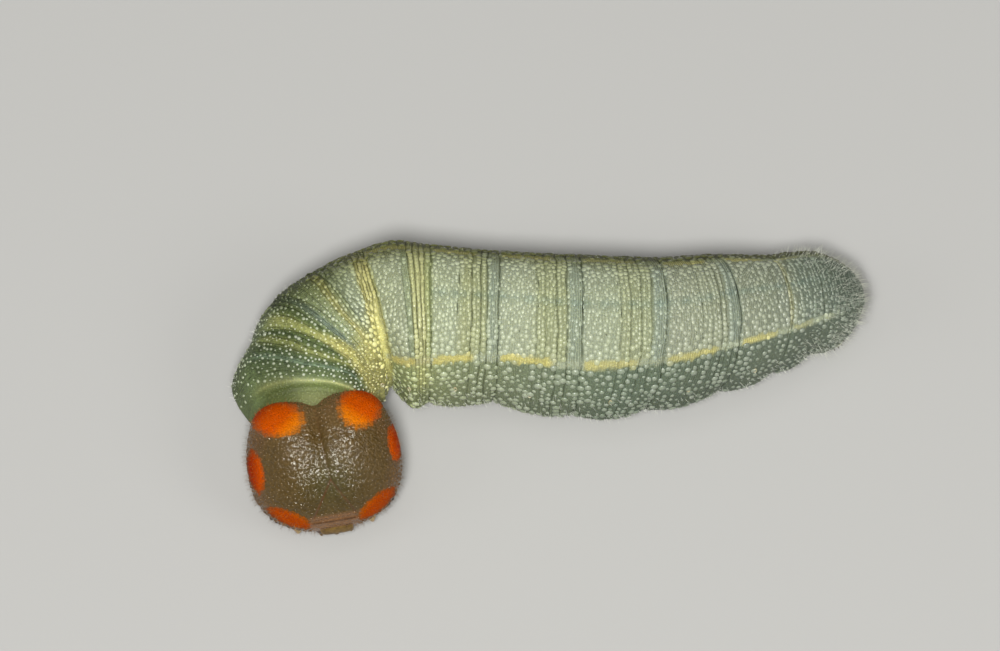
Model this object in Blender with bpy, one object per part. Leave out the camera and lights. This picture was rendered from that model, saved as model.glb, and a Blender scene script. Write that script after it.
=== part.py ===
"""A duskywing larva at rest on its prolegs, life size, its front end bent round to its own left.

The tail points to +X and the head end to -X, then round to -Y. The floor is z = 0. Lengths are in metres.
The body is a run of cross-sections. Each one spans from a left flank point to a right flank point in plan,
so the sections fan out round the inside of the bend and never cross. The station number t counts the
segment borders from the tail, so the tail end is t = 0 and the front of the second thoracic ring is t = 12.
"""

import math

import bmesh
import bpy
import numpy as np
from mathutils import Matrix, Vector

MM = 0.001

# Gaps between neighbouring pieces, small because the whole animal is only 16 mm long.
BODY_GAP = 0.16 * MM
SMALL_GAP = 0.08 * MM

# Body stations: t, left flank (x, y), right flank (x, y), top and belly height, backward lean of the top.
STATIONS = (
    (0.0, (8.38, 1.90), (7.74, 4.22), 2.00, 0.62, 0.30),
    (1.0, (6.87, 1.20), (6.13, 4.05), 2.75, 0.55, 0.36),
    (2.0, (5.95, 0.66), (5.17, 3.84), 3.10, 0.55, 0.42),
    (3.0, (4.60, 0.09), (3.83, 3.80), 3.41, 0.55, 0.40),
    (4.0, (2.64, -0.52), (2.45, 3.67), 3.75, 0.55, 0.28),
    (5.0, (0.66, -0.69), (0.62, 3.73), 3.87, 0.55, 0.12),
    (6.0, (-1.40, -0.32), (-1.33, 3.84), 3.80, 0.55, 0.05),
    (7.0, (-3.06, -0.35), (-3.06, 4.00), 3.90, 0.55, 0.02),
    (7.5, (-3.50, -0.36), (-4.02, 4.10), 3.95, 0.55, 0.00),
    (8.0, (-3.96, 0.08), (-4.95, 3.82), 3.86, 0.55, 0.00),
    (9.0, (-4.08, -0.06), (-6.33, 3.12), 3.78, 0.57, 0.05),
    (10.0, (-4.19, -0.16), (-7.24, 2.42), 3.64, 0.60, 0.10),
    (11.0, (-4.30, -0.26), (-7.78, 1.34), 3.44, 0.65, 0.15),
    (11.5, (-4.38, -0.37), (-8.14, 0.40), 3.25, 0.68, 0.20),
    (12.0, (-4.46, -0.50), (-7.80, -0.62), 2.95, 0.72, 0.24),
)
SEGMENTS = ["abdomen_%d" % n for n in range(10, 0, -1)] + ["metathorax", "mesothorax"]
THORAX_START = 10  # the station where the thorax begins
WIDEST = 0.42  # share of the height at which a section is widest
FLANK_FULLNESS = 0.9  # under 1 makes a section squarer at its flanks than an ellipse
BELLY_FULLNESS = 0.72  # under 1 makes the belly flatter than an ellipse
TAIL_ROUND = 1.35 * MM  # length over which the tail end closes
TAIL_TIP = 1.05 * MM  # height of its rearmost point

# Relief of the skin: folds between rings, finer grooves within a ring, and the lobe low on each flank.
FOLD_DEPTH = 0.13 * MM
FOLD_WIDTH = 0.05
GROOVE_DEPTH = 0.045 * MM
GROOVE_WIDTH = 0.028
ABDOMEN_GROOVES = (0.12, 0.25, 0.38)  # shares of a ring's length from its back border
THORAX_GROOVES = (0.45,)
LOBE_REACH = 0.19 * MM
LOBE_ANGLE = math.radians(107)
LOBE_SPREAD = math.radians(17)
LOBE_FULLNESS = 0.6  # under 1 makes a lobe fuller along its ring
RING_LENGTH = 1.6 * MM  # a full-length ring, against which the relief of a squeezed one is scaled

RING_STEPS = (0.05, 0.12, 0.185, 0.25, 0.315, 0.38, 0.48, 0.64, 0.80, 0.94)
THORAX_STEPS = (0.10, 0.28, 0.45, 0.62, 0.80, 0.92)
TAIL_STEPS = (0.035, 0.09, 0.17, 0.27, 0.39, 0.52, 0.66, 0.80, 0.92)
BODY_SIDES = 28

# The head: a thick lens tipped back so that its face looks up and forward, rolled a little.
HEAD_CENTRE = Vector((-5.74, -2.00, 1.80)) * MM
FACE_LIFT = math.radians(58)
HEAD_ROLL = math.radians(9.3)
HEAD_HALF_WIDTH = 1.96 * MM
HEAD_HALF_HEIGHT = 1.72 * MM
HEAD_SQUARENESS = 2.35
FACE_DEPTH = 1.10 * MM
BACK_DEPTH = 0.95 * MM
BACK_FLAT = 0.80 * MM
LOBE_RISE = 0.21 * MM
LOBE_AT = math.radians(42)
LOBE_WIDTH = math.radians(18)
NOTCH_DEPTH = 0.16 * MM
NOTCH_WIDTH = math.radians(10)
HEAD_SIDES = 44
HEAD_RINGS = 22

# The first thoracic ring is the smooth neck between the collar and the head.
NECK_HALF_WIDTH = 1.42 * MM
NECK_TOP = 2.86 * MM
NECK_BELLY = 0.75 * MM
NECK_SIDES = 24
NECK_RINGS = 7

# Prolegs: a stub that widens to a flat sole, given as radius and height in millimetres from the sole up.
PROLEG_RINGS = (4, 5, 6, 7)  # the stations where abdomen 6, 5, 4 and 3 begin
PROLEG_AT = 0.5  # share of its ring's length
PROLEG_OUT = 0.86 * MM
PROLEG_LEAN = 0.12  # drift inwards per unit of height
ANAL_PROLEG_AT = 0.62
ANAL_PROLEG_OUT = 0.52 * MM
PROLEG_PROFILE = ((0.33, 0), (0.38, 0.07), (0.35, 0.17), (0.31, 0.26), (0.38, 0.45), (0.42, 1.05))
PROLEG_SIDES = 14

# Jointed legs of the thorax, as thick cones that bend in to a small flat claw tip.
LEG_OUT = 0.84 * MM
LEG_LEAN = 0.35
LEG_PROFILE = ((0.09, 0), (0.11, 0.06), (0.17, 0.18), (0.25, 0.34), (0.30, 0.55), (0.30, 1.15))
LEG_SIDES = 12
MIDDLE_LEG_AT = 11.55  # station of the middle pair
HIND_LEG_AT = 10.5
FRONT_LEG_AHEAD = 0.55 * MM  # from the front of the second thoracic ring

# Mouthparts as ovals from root to tip, in millimetres in the head's own axes: x, y and z of the
# middle, then the half lengths along x and z. The paired ones are given for the left side.
LABRUM = (
    (0, -1.50, 0.30, 0.44, 0.20),
    (0, -1.70, 0.27, 0.46, 0.20),
    (0, -1.86, 0.24, 0.43, 0.17),
    (0, -1.93, 0.22, 0.36, 0.11),
)
MANDIBLE = (
    (0.34, -1.40, -0.12, 0.25, 0.23),
    (0.33, -1.68, -0.12, 0.24, 0.21),
    (0.29, -1.88, -0.08, 0.19, 0.15),
    (0.23, -1.97, -0.03, 0.11, 0.08),
)
ANTENNA = (
    (0.86, -1.20, -0.22, 0.22, 0.22),
    (0.90, -1.45, -0.30, 0.22, 0.22),
    (0.93, -1.60, -0.35, 0.17, 0.17),
    (0.96, -1.75, -0.40, 0.10, 0.10),
    (0.97, -1.84, -0.43, 0.05, 0.05),
)
LABIUM = (
    (0, -1.30, -0.62, 0.50, 0.20),
    (0, -1.62, -0.60, 0.46, 0.19),
    (0, -1.80, -0.56, 0.28, 0.15),
    (0, -1.95, -0.52, 0.09, 0.08),
)
MOUTH_SIDES = 14

# Eyes: an oval plate low on each side of the head, with a curved row of six lenses.
EYE_TURN = math.radians(128)
EYE_TILT = math.radians(97)
EYE_PLATE_RADIUS = 0.24 * MM
EYE_PLATE_STRETCH = 1.35
EYE_PLATE_DEPTH = 0.52 * MM
EYE_SINK = 0.31 * MM  # depth of the plate's middle under the surface
LENS_COUNT = 6
LENS_RADIUS = 0.062 * MM
LENS_ROW = (0.23 * MM, 0.13 * MM)  # half lengths of the oval that the row follows
LENS_START = math.radians(-95)
LENS_STEP = math.radians(38)

GREEN_WHITE = (0.62, 0.68, 0.50)
YELLOW_GREEN = (0.50, 0.56, 0.28)
PALE_GREEN = (0.47, 0.58, 0.40)
TAUPE = (0.17, 0.12, 0.075)
CREAM = (0.62, 0.50, 0.30)
DARK_BROWN = (0.06, 0.03, 0.018)
EYE_BLACK = (0.02, 0.016, 0.014)


def clear_scene():
    for obj in list(bpy.data.objects):
        bpy.data.objects.remove(obj, do_unlink=True)


def finish(obj, colour, roughness):
    """Gives an object a Principled material of its own."""
    mat = bpy.data.materials.new(obj.name + "_finish")
    mat.use_nodes = True
    shader = mat.node_tree.nodes["Principled BSDF"]
    shader.inputs["Base Color"].default_value = (*colour, 1)
    shader.inputs["Roughness"].default_value = roughness
    shader.inputs["Metallic"].default_value = 0
    obj.data.materials.clear()
    obj.data.materials.append(mat)


def to_object(name, bm):
    """Turns a bmesh into an object, its faces pointing outwards."""
    bmesh.ops.recalc_face_normals(bm, faces=bm.faces[:])
    mesh = bpy.data.meshes.new(name)
    bm.to_mesh(mesh)
    bm.free()
    mesh.shade_smooth()
    mesh.set_sharp_from_angle(angle=math.radians(50))
    obj = bpy.data.objects.new(name, mesh)
    bpy.context.collection.objects.link(obj)
    return obj


def along(values, t):
    """A smooth curve through the station values, read at t."""
    knots = np.array([row[0] for row in STATIONS])
    values = np.asarray(values, float)
    slopes = np.gradient(values, knots, axis=0)
    i = int(np.clip(np.searchsorted(knots, t) - 1, 0, len(knots) - 2))
    step = knots[i + 1] - knots[i]
    f = (t - knots[i]) / step
    a, b = values[i], values[i + 1]
    return (
        a * (1 + 2 * f) * (1 - f) ** 2
        + b * (3 - 2 * f) * f**2
        + step * (slopes[i] * f * (1 - f) ** 2 - slopes[i + 1] * f**2 * (1 - f))
    )


class Section:
    """The body's cross-section at station t."""

    def __init__(self, t):
        self.t = t
        self.left = Vector((*along([row[1] for row in STATIONS], t), 0)) * MM
        self.right = Vector((*along([row[2] for row in STATIONS], t), 0)) * MM
        self.top = along([row[3] for row in STATIONS], t) * MM
        self.belly = along([row[4] for row in STATIONS], t) * MM
        self.lean = along([row[5] for row in STATIONS], t)
        self.centre = (self.left + self.right) / 2
        self.half_width = (self.left - self.right).length / 2
        self.outward = (self.left - self.right).normalized()
        self.ahead = Vector((self.outward.y, -self.outward.x, 0))

    def closing(self):
        """How far the tail end has closed: 1 along the body, 0 at its tip."""
        from_tip = self.t * RING_LENGTH
        if from_tip >= TAIL_ROUND:
            return 1.0
        return math.sqrt(max(0.0, 1 - (1 - from_tip / TAIL_ROUND) ** 2))

    def relief(self, side):
        """Folds and grooves, with side from -1 at the right flank to 1 at the left."""
        ring = min(int(self.t), len(SEGMENTS) - 1)
        f = self.t - ring
        here, there = Section.borders[ring], Section.borders[ring + 1]
        left_run = (there[0] - here[0]).length
        right_run = (there[1] - here[1]).length
        squeeze = min(1.0, ((1 + side) * left_run + (1 - side) * right_run) / 2 / RING_LENGTH)
        grooves = ABDOMEN_GROOVES if ring < THORAX_START else THORAX_GROOVES
        depth = sum(GROOVE_DEPTH * math.exp(-(((f - g) / GROOVE_WIDTH) ** 2)) for g in grooves)
        for border in (0.0, 1.0):
            if ring + border > 0:
                depth += FOLD_DEPTH * math.exp(-(((f - border) / FOLD_WIDTH) ** 2))
        return depth * squeeze

    def lobe(self):
        """How far the flank lobe stands out, most in the middle of a ring."""
        return LOBE_REACH * abs(math.sin(math.pi * self.t)) ** LOBE_FULLNESS

    def point(self, angle):
        """The skin at an angle round the body, 0 on the back and positive on the left."""
        across, up = math.sin(angle), math.cos(angle)
        side = math.copysign(abs(across) ** FLANK_FULLNESS, across)
        widest = self.belly + WIDEST * (self.top - self.belly)
        closing = self.closing()
        if up >= 0:
            rise = (self.top - widest) * up
        else:
            rise = -(widest - self.belly) * (-up) ** BELLY_FULLNESS
        inset = self.relief(side)
        half = self.half_width - LOBE_REACH - inset
        bulge = self.lobe() * math.exp(-(((abs(angle) - LOBE_ANGLE) / LOBE_SPREAD) ** 2))
        reach = side * half + math.copysign(bulge, across)
        height = widest + rise * (1 - inset / (self.top - self.belly) * 2)
        height = TAIL_TIP + (height - TAIL_TIP) * closing
        reach *= closing
        place = self.centre + self.outward * reach
        place -= self.ahead * self.lean * (height - (self.top + self.belly) / 2)
        place.z = height
        return place


def measure_borders():
    """The flank points at every border, kept for the relief."""
    Section.borders = []
    for t in range(len(SEGMENTS) + 1):
        section = Section(float(t))
        Section.borders.append((section.left, section.right))


def loft(rings, pole=None):
    """A closed skin through rings of points, capped flat, or drawn to a pole at its first ring."""
    bm = bmesh.new()
    sides = len(rings[0])
    start = bmesh.ops.create_circle(bm, segments=sides, radius=MM)["verts"]
    for vert, place in zip(start, rings[0]):
        vert.co = place
    first = [edge for edge in bm.edges]
    edges, verts = first, start
    for ring in rings[1:]:
        new = bmesh.ops.extrude_edge_only(bm, edges=edges)["geom"]
        edges = [item for item in new if isinstance(item, bmesh.types.BMEdge) and not item.link_faces[1:]]
        edges = [item for item in edges if all(v not in verts for v in item.verts)]
        following = {}
        for old in verts:
            for edge in old.link_edges:
                other = edge.other_vert(old)
                if other not in verts and (other.co - old.co).length < 1e-12:
                    following[old] = other
        verts = [following[old] for old in verts]
        for vert, place in zip(verts, ring):
            vert.co = place
    for border, tip in ((first, pole), (edges, None)):
        cap = bmesh.ops.contextual_create(bm, geom=border)["faces"]
        centre = bmesh.ops.poke(bm, faces=cap)["verts"][0]
        if tip is not None:
            centre.co = tip
    return bm


def angles(sides):
    return [2 * math.pi * i / sides for i in range(sides)]


def turned(angle):
    """The same angle between -180 and 180 degrees."""
    return (angle + math.pi) % (2 * math.pi) - math.pi


def body_ring(t, sides=BODY_SIDES):
    section = Section(t)
    return [section.point(turned(a)) for a in angles(sides)]


def ring_length(n):
    return (Section(n + 1.0).centre - Section(float(n)).centre).length


def build_segment(n, name):
    """One ring of the body, from its back border to its front border."""
    ease = BODY_GAP / 2 / ring_length(n)
    if n == 0:
        steps = [*TAIL_STEPS, 1 - ease]
        tip = Section(0.0)
        pole = tip.centre - tip.ahead * tip.lean * (TAIL_TIP - (tip.top + tip.belly) / 2)
        pole.z = TAIL_TIP
        return to_object(name, loft([body_ring(f) for f in steps], pole))
    inner = RING_STEPS if n < THORAX_START else THORAX_STEPS
    steps = [ease, *[f for f in inner if ease + 0.02 < f < 1 - ease - 0.02], 1 - ease]
    return to_object(name, loft([body_ring(n + f) for f in steps]))


def head_axes():
    """Unit vectors across the head to its left, up to its crown, and out of its face."""
    across = Vector((1, 0, 0))
    crown = Vector((0, math.sin(FACE_LIFT), math.cos(FACE_LIFT)))
    face = across.cross(crown)
    roll = Matrix.Rotation(HEAD_ROLL, 3, face)
    return roll @ across, roll @ crown, face


def on_head(x, y, z):
    """A place in the head's own axes, in metres, as a place in the model."""
    across, crown, face = head_axes()
    return HEAD_CENTRE + across * x + crown * y + face * z


def head_outline(turn):
    """The rim's distance from the head's centre, with turn from the crown and alike on both sides."""
    turn = abs(turned(turn))
    wide, high = math.sin(turn) / HEAD_HALF_WIDTH, math.cos(turn) / HEAD_HALF_HEIGHT
    rim = (abs(wide) ** HEAD_SQUARENESS + abs(high) ** HEAD_SQUARENESS) ** (-1 / HEAD_SQUARENESS)
    rim += LOBE_RISE * math.exp(-(((turn - LOBE_AT) / LOBE_WIDTH) ** 2))
    return rim - NOTCH_DEPTH * math.exp(-((turn / NOTCH_WIDTH) ** 2))


def head_point(turn, tilt):
    """The head's surface at a turn round the face and a tilt from the face's middle, 0, to the back, 180."""
    out = head_outline(turn) * math.sin(tilt) ** 0.92
    depth = math.cos(tilt) * (FACE_DEPTH if tilt < math.pi / 2 else BACK_DEPTH)
    return on_head(out * math.sin(turn), out * math.cos(turn), max(depth, -BACK_FLAT))


def build_head():
    rings = []
    for i in range(1, HEAD_RINGS):
        tilt = math.pi * i / HEAD_RINGS
        if BACK_DEPTH * math.cos(tilt) < -BACK_FLAT:
            break
        rings.append([head_point(turn, tilt) for turn in angles(HEAD_SIDES)])
    return to_object("head_capsule", loft(rings, on_head(0, 0, FACE_DEPTH)))


def build_neck():
    """A short smooth barrel from the collar to the head, cut to fit both later."""
    collar = Section(12.0)
    half_height = (NECK_TOP - NECK_BELLY) / 2
    middle = (NECK_TOP + NECK_BELLY) / 2
    end = on_head(0, 0, 0)
    rings = []
    for i in range(NECK_RINGS):
        f = i / (NECK_RINGS - 1)
        ring = []
        for a in angles(NECK_SIDES):
            height = middle + half_height * math.cos(a)
            place = collar.centre.lerp(Vector((end.x, end.y, 0)), f)
            place += collar.outward * NECK_HALF_WIDTH * math.sin(a)
            place -= collar.ahead * collar.lean * (1 - f) * (height - (collar.top + collar.belly) / 2)
            place.z = height
            ring.append(place)
        rings.append(ring)
    return to_object("prothorax", loft(rings))


def swollen(obj, gap):
    """A hidden copy of an object grown by a gap, to cut its neighbours with."""
    bm = bmesh.new()
    bm.from_mesh(obj.data)
    bm.normal_update()
    grown = [vert.co + vert.normal * gap for vert in bm.verts]
    for vert, place in zip(bm.verts, grown):
        vert.co = place
    cutter = to_object(obj.name + "_cutter", bm)
    cutter.hide_render = True
    cutter.display_type = "WIRE"
    return cutter


def keep_largest(obj):
    """Leaves only the largest closed surface of a mesh."""
    bm = bmesh.new()
    bm.from_mesh(obj.data)
    left, islands = set(bm.faces), []
    while left:
        island, front = set(), [left.pop()]
        while front:
            face = front.pop()
            island.add(face)
            for edge in face.edges:
                for other in edge.link_faces:
                    if other in left:
                        left.discard(other)
                        front.append(other)
        islands.append(island)
    biggest = max(islands, key=lambda island: sum(face.calc_area() for face in island))
    spare = [face for island in islands if island is not biggest for face in island]
    bmesh.ops.delete(bm, geom=spare, context="FACES")
    bm.to_mesh(obj.data)
    bm.free()


def combine(obj, others, operation, solver="EXACT"):
    """One Boolean on a collection of objects, applied, and the collection's objects removed."""
    group = bpy.data.collections.new(obj.name + "_others")
    bpy.context.scene.collection.children.link(group)
    for other in others:
        group.objects.link(other)
    modifier = obj.modifiers.new("Join", "BOOLEAN")
    modifier.operation = operation
    modifier.operand_type = "COLLECTION"
    modifier.collection = group
    modifier.solver = solver
    graph = bpy.context.evaluated_depsgraph_get()
    joined = bpy.data.meshes.new_from_object(obj.evaluated_get(graph))
    obj.modifiers.clear()
    obj.data = joined
    for other in others:
        bpy.data.objects.remove(other, do_unlink=True)
    bpy.data.collections.remove(group)
    keep_largest(obj)


def cut_clear(obj, neighbours, gap, solver="EXACT"):
    """Cuts an object back so that it keeps a gap to each neighbour."""
    combine(obj, [swollen(neighbour, gap) for neighbour in neighbours], "DIFFERENCE", solver)


def stub(name, foot, lean, profile, sides):
    """A round stub over a foot point: profile lists radius and height, lean its sideways drift per height."""
    rings = []
    for radius, height in profile:
        centre = Vector((foot.x, foot.y, height * MM)) + lean * height * MM
        ring = [centre + Vector((math.cos(a), math.sin(a), 0)) * radius * MM for a in angles(sides)]
        rings.append(ring)
    return to_object(name, loft(rings))


def build_prolegs(parts):
    """Four pairs under the middle of the body and one under the tail."""
    places = [(n, n + PROLEG_AT, PROLEG_OUT) for n in PROLEG_RINGS] + [(0, ANAL_PROLEG_AT, ANAL_PROLEG_OUT)]
    made = []
    for n, t, out in places:
        section = Section(t)
        for side, sign in (("left", 1), ("right", -1)):
            foot = section.centre + section.outward * out * sign
            name = "proleg_%d_%s" % (10 - n, side)
            obj = stub(name, foot, -section.outward * PROLEG_LEAN * sign, PROLEG_PROFILE, PROLEG_SIDES)
            cut_clear(obj, [parts[SEGMENTS[n]]], BODY_GAP)
            made.append(obj)
    return made


def build_legs(parts):
    """Three pairs of jointed legs under the thorax and the neck."""
    collar, middle, hind = Section(12.0), Section(MIDDLE_LEG_AT), Section(HIND_LEG_AT)
    front = collar.centre + collar.ahead * FRONT_LEG_AHEAD
    rows = (
        ("front", collar, front, ("prothorax", "mesothorax", "head_capsule")),
        ("middle", middle, middle.centre, ("mesothorax", "metathorax", "prothorax")),
        ("hind", hind, hind.centre, ("metathorax", "mesothorax", "abdomen_1")),
    )
    made = []
    for row, section, centre, hosts in rows:
        for side, sign in (("left", 1), ("right", -1)):
            foot = centre + section.outward * LEG_OUT * sign
            name = "leg_%s_%s" % (row, side)
            obj = stub(name, foot, -section.outward * LEG_LEAN * sign, LEG_PROFILE, LEG_SIDES)
            cut_clear(obj, [parts[host] for host in hosts], BODY_GAP, "MANIFOLD")
            made.append(obj)
    return made


def oval(x, y, z, along_x, along_z):
    """A level oval given in millimetres in the head's axes."""
    return [
        on_head((x + along_x * math.cos(a)) * MM, y * MM, (z + along_z * math.sin(a)) * MM)
        for a in angles(MOUTH_SIDES)
    ]


def build_mouthparts(parts):
    """The plates, jaws and feelers round the mouth, each from its root inside the head to its tip."""
    shapes = [("labrum", LABRUM, 1), ("labium", LABIUM, 1)]
    for side, sign in (("left", 1), ("right", -1)):
        shapes += [("mandible_" + side, MANDIBLE, sign), ("antenna_" + side, ANTENNA, sign)]
    made = []
    for name, rows, sign in shapes:
        rings = [oval(x * sign, y, z, along_x, along_z) for x, y, z, along_x, along_z in rows]
        made.append(to_object(name, loft(rings)))
    for obj in made:
        cut_clear(obj, [parts["head_capsule"]], SMALL_GAP)
    return made


def build_eyes(parts):
    """Each eye is a low oval plate set in a socket of the head, with a curved row of small lenses."""
    face = head_axes()[2]
    made = []
    for side, sign in (("left", 1), ("right", -1)):
        middle = head_point(EYE_TURN * sign, EYE_TILT)
        out = (middle - HEAD_CENTRE).normalized()
        round_rim = face.cross(out).normalized()
        frame = Matrix((round_rim, out.cross(round_rim), out)).transposed().to_4x4()
        frame.translation = middle - out * EYE_SINK
        stretch = frame @ Matrix.Scale(EYE_PLATE_STRETCH, 4, (1, 0, 0))
        plate = bmesh.new()
        bmesh.ops.create_cone(
            plate,
            cap_ends=True,
            segments=18,
            radius1=EYE_PLATE_RADIUS,
            radius2=EYE_PLATE_RADIUS,
            depth=EYE_PLATE_DEPTH,
            matrix=stretch,
        )
        eye = to_object("eye_" + side, plate)
        cut_clear(parts["head_capsule"], [eye], SMALL_GAP)
        lenses = []
        for i in range(LENS_COUNT):
            a = LENS_START + LENS_STEP * i
            place = Vector((LENS_ROW[0] * math.cos(a), LENS_ROW[1] * math.sin(a), EYE_PLATE_DEPTH / 2))
            bead = bmesh.new()
            bmesh.ops.create_uvsphere(
                bead, u_segments=8, v_segments=6, radius=LENS_RADIUS, matrix=Matrix.Translation(frame @ place)
            )
            lenses.append(to_object("lens", bead))
        combine(eye, lenses, "UNION")
        made.append(eye)
    return made


def main():
    clear_scene()
    measure_borders()
    parts = {}
    for n, name in enumerate(SEGMENTS):
        parts[name] = build_segment(n, name)
    parts["head_capsule"] = build_head()
    parts["prothorax"] = build_neck()
    for name in ("prothorax", "mesothorax"):
        cut_clear(parts[name], [parts["head_capsule"]], SMALL_GAP)
    legs = build_legs(parts)
    prolegs = build_prolegs(parts)
    mouthparts = build_mouthparts(parts)
    eyes = build_eyes(parts)
    for name, obj in parts.items():
        finish(obj, YELLOW_GREEN if "thorax" in name else GREEN_WHITE, 0.55)
    finish(parts["head_capsule"], TAUPE, 0.35)
    for obj in prolegs:
        finish(obj, PALE_GREEN, 0.5)
    for obj in legs:
        finish(obj, CREAM, 0.4)
    for obj in mouthparts:
        finish(obj, DARK_BROWN if "mandible" in obj.name else CREAM, 0.35)
    for obj in eyes:
        finish(obj, EYE_BLACK, 0.15)


main()
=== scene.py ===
"""The looks of a duskywing larva at rest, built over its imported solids.

The tail points to +X, the head end to -X and then -Y, and the floor is z = 0. A place on the body has two numbers.
Along counts the ring borders, from the tail end, 0, to the front of the second thoracic ring, 12, and the neck runs
on to 13. Around is the angle round the body in radians, 0 on the back and positive on the animal's left. Home is
along without the ringlets' drift round the bend, turn is around in degrees, and away is turn without its sign.
The colour functions' numbers are such stations and degrees, and the shares of a colour that rise between them.
Shapes are worked out in millimetres, and meshes are made in metres.
"""

import math

import bmesh
import bpy
import numpy as np
from mathutils import Matrix, Vector


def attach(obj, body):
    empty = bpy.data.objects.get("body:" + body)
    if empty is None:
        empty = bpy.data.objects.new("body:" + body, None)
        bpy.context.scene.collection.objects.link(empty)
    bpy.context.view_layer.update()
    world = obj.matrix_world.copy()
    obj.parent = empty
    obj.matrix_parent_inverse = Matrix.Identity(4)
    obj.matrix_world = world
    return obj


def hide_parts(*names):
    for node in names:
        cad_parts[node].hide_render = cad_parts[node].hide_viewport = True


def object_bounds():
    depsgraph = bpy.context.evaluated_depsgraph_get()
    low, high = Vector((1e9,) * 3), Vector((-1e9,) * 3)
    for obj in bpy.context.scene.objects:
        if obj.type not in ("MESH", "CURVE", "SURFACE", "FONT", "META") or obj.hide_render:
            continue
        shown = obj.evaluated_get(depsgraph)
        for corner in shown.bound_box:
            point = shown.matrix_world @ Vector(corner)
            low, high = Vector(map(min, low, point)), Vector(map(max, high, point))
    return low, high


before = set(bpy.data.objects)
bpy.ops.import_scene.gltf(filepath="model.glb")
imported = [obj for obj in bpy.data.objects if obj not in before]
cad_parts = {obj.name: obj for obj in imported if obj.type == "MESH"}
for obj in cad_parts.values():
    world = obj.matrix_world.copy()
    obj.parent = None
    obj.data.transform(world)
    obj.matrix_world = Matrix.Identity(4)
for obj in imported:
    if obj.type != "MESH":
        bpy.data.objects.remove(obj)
CAD_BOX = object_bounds()
MM = 0.001


def linear(tint):
    """A colour from 0 to 255 as light from 0 to 1."""
    share = np.asarray(tint, float) / 255
    return np.where(share <= 0.04045, share / 12.92, ((share + 0.055) / 1.055) ** 2.4)


def tint_rows(*rows):
    """A table of stations and colours."""
    rows = np.array(rows, float)
    return np.column_stack([rows[:, 0], linear(rows[:, 1:])])


# Body stations: along, left flank x and y, right flank x and y, top, belly, and backward lean of the top.
STATIONS = np.array((
    (0.0, 8.38, 1.90, 7.74, 4.22, 2.00, 0.62, 0.30),
    (1.0, 6.87, 1.20, 6.13, 4.05, 2.75, 0.55, 0.36),
    (2.0, 5.95, 0.66, 5.17, 3.84, 3.10, 0.55, 0.42),
    (3.0, 4.60, 0.09, 3.83, 3.80, 3.41, 0.55, 0.40),
    (4.0, 2.64, -0.52, 2.45, 3.67, 3.75, 0.55, 0.28),
    (5.0, 0.66, -0.69, 0.62, 3.73, 3.87, 0.55, 0.12),
    (6.0, -1.40, -0.32, -1.33, 3.84, 3.80, 0.55, 0.05),
    (7.0, -3.06, -0.35, -3.06, 4.00, 3.90, 0.55, 0.02),
    (7.5, -3.50, -0.36, -4.02, 4.10, 3.95, 0.55, 0.00),
    (8.0, -3.96, 0.08, -4.95, 3.82, 3.86, 0.55, 0.00),
    (9.0, -4.08, -0.06, -6.33, 3.12, 3.78, 0.57, 0.05),
    (10.0, -4.19, -0.16, -7.24, 2.42, 3.64, 0.60, 0.10),
    (11.0, -4.30, -0.26, -7.78, 1.34, 3.44, 0.65, 0.15),
    (11.5, -4.38, -0.37, -8.14, 0.40, 3.25, 0.68, 0.20),
    (12.0, -4.46, -0.50, -7.80, -0.62, 2.95, 0.72, 0.24),
))
KNOTS = STATIONS[:, 0]
RINGS = ["abdomen_%d" % n for n in range(10, 0, -1)] + ["metathorax", "mesothorax"]
COLLAR = 12.0
WIDEST = 0.42
FLANK_FULLNESS, BELLY_FULLNESS = 0.9, 0.72
TAIL_ROUND, TAIL_TIP = 1.35, 1.05
RING_LENGTH = 1.6
LOBE_REACH, LOBE_ANGLE, LOBE_SPREAD = 0.19, math.radians(107), math.radians(17)
# The neck: a lip rolls in at the collar's rim, then a smooth barrel runs on into the head.
LIP_DEPTH, LIP_RUN = 0.13, 0.035
NECK_LENGTH, NECK_HALF, NECK_DROP = 1.15, 1.25, 0.25
# Folds between rings, then for each ring from the tail its finer grooves, as a share of the ring from its back
# border and a depth. The narrow ringlets lie between the grooves.
FOLD_DEPTH, FOLD_WIDTH, GROOVE_WIDTH, RELIEF_SHARE = 0.075, 0.020, 0.017, 0.47
GROOVES = (
    ((0.42, 0.015), (0.64, 0.020), (0.84, 0.020)),
    ((0.30, 0.012), (0.62, 0.012)),
    ((0.06, 0.030), (0.30, 0.012), (0.55, 0.010)),
    ((0.10, 0.020), (0.20, 0.045), (0.28, 0.040), (0.41, 0.028), (0.55, 0.020)),
    ((0.18, 0.055), (0.31, 0.050), (0.44, 0.038), (0.56, 0.028)),
    ((0.18, 0.060), (0.30, 0.055), (0.44, 0.048), (0.54, 0.032)),
    ((0.16, 0.055), (0.25, 0.050), (0.38, 0.058), (0.57, 0.028)),
    ((0.10, 0.060), (0.17, 0.055), (0.26, 0.065), (0.35, 0.055), (0.47, 0.030)),
    ((0.08, 0.055), (0.15, 0.050), (0.23, 0.055), (0.31, 0.050), (0.70, 0.015)),
    ((0.10, 0.040), (0.25, 0.055), (0.37, 0.050), (0.50, 0.045), (0.80, 0.030)),
    ((0.20, 0.045), (0.28, 0.040), (0.36, 0.040), (0.52, 0.045), (0.74, 0.065), (0.96, 0.045)),
    ((0.12, 0.035), (0.26, 0.060), (0.38, 0.055), (0.57, 0.035), (0.63, 0.035), (0.80, 0.018)),
)
# Rings whose rearmost ringlet is a smooth bluish band with hardly a granule.
SMOOTH_BANDS = ((3.0, 3.08), (4.0, 4.12), (5.0, 5.13), (6.0, 6.11), (7.36, 7.45), (10.19, 10.36), (11.57, 11.63))
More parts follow.
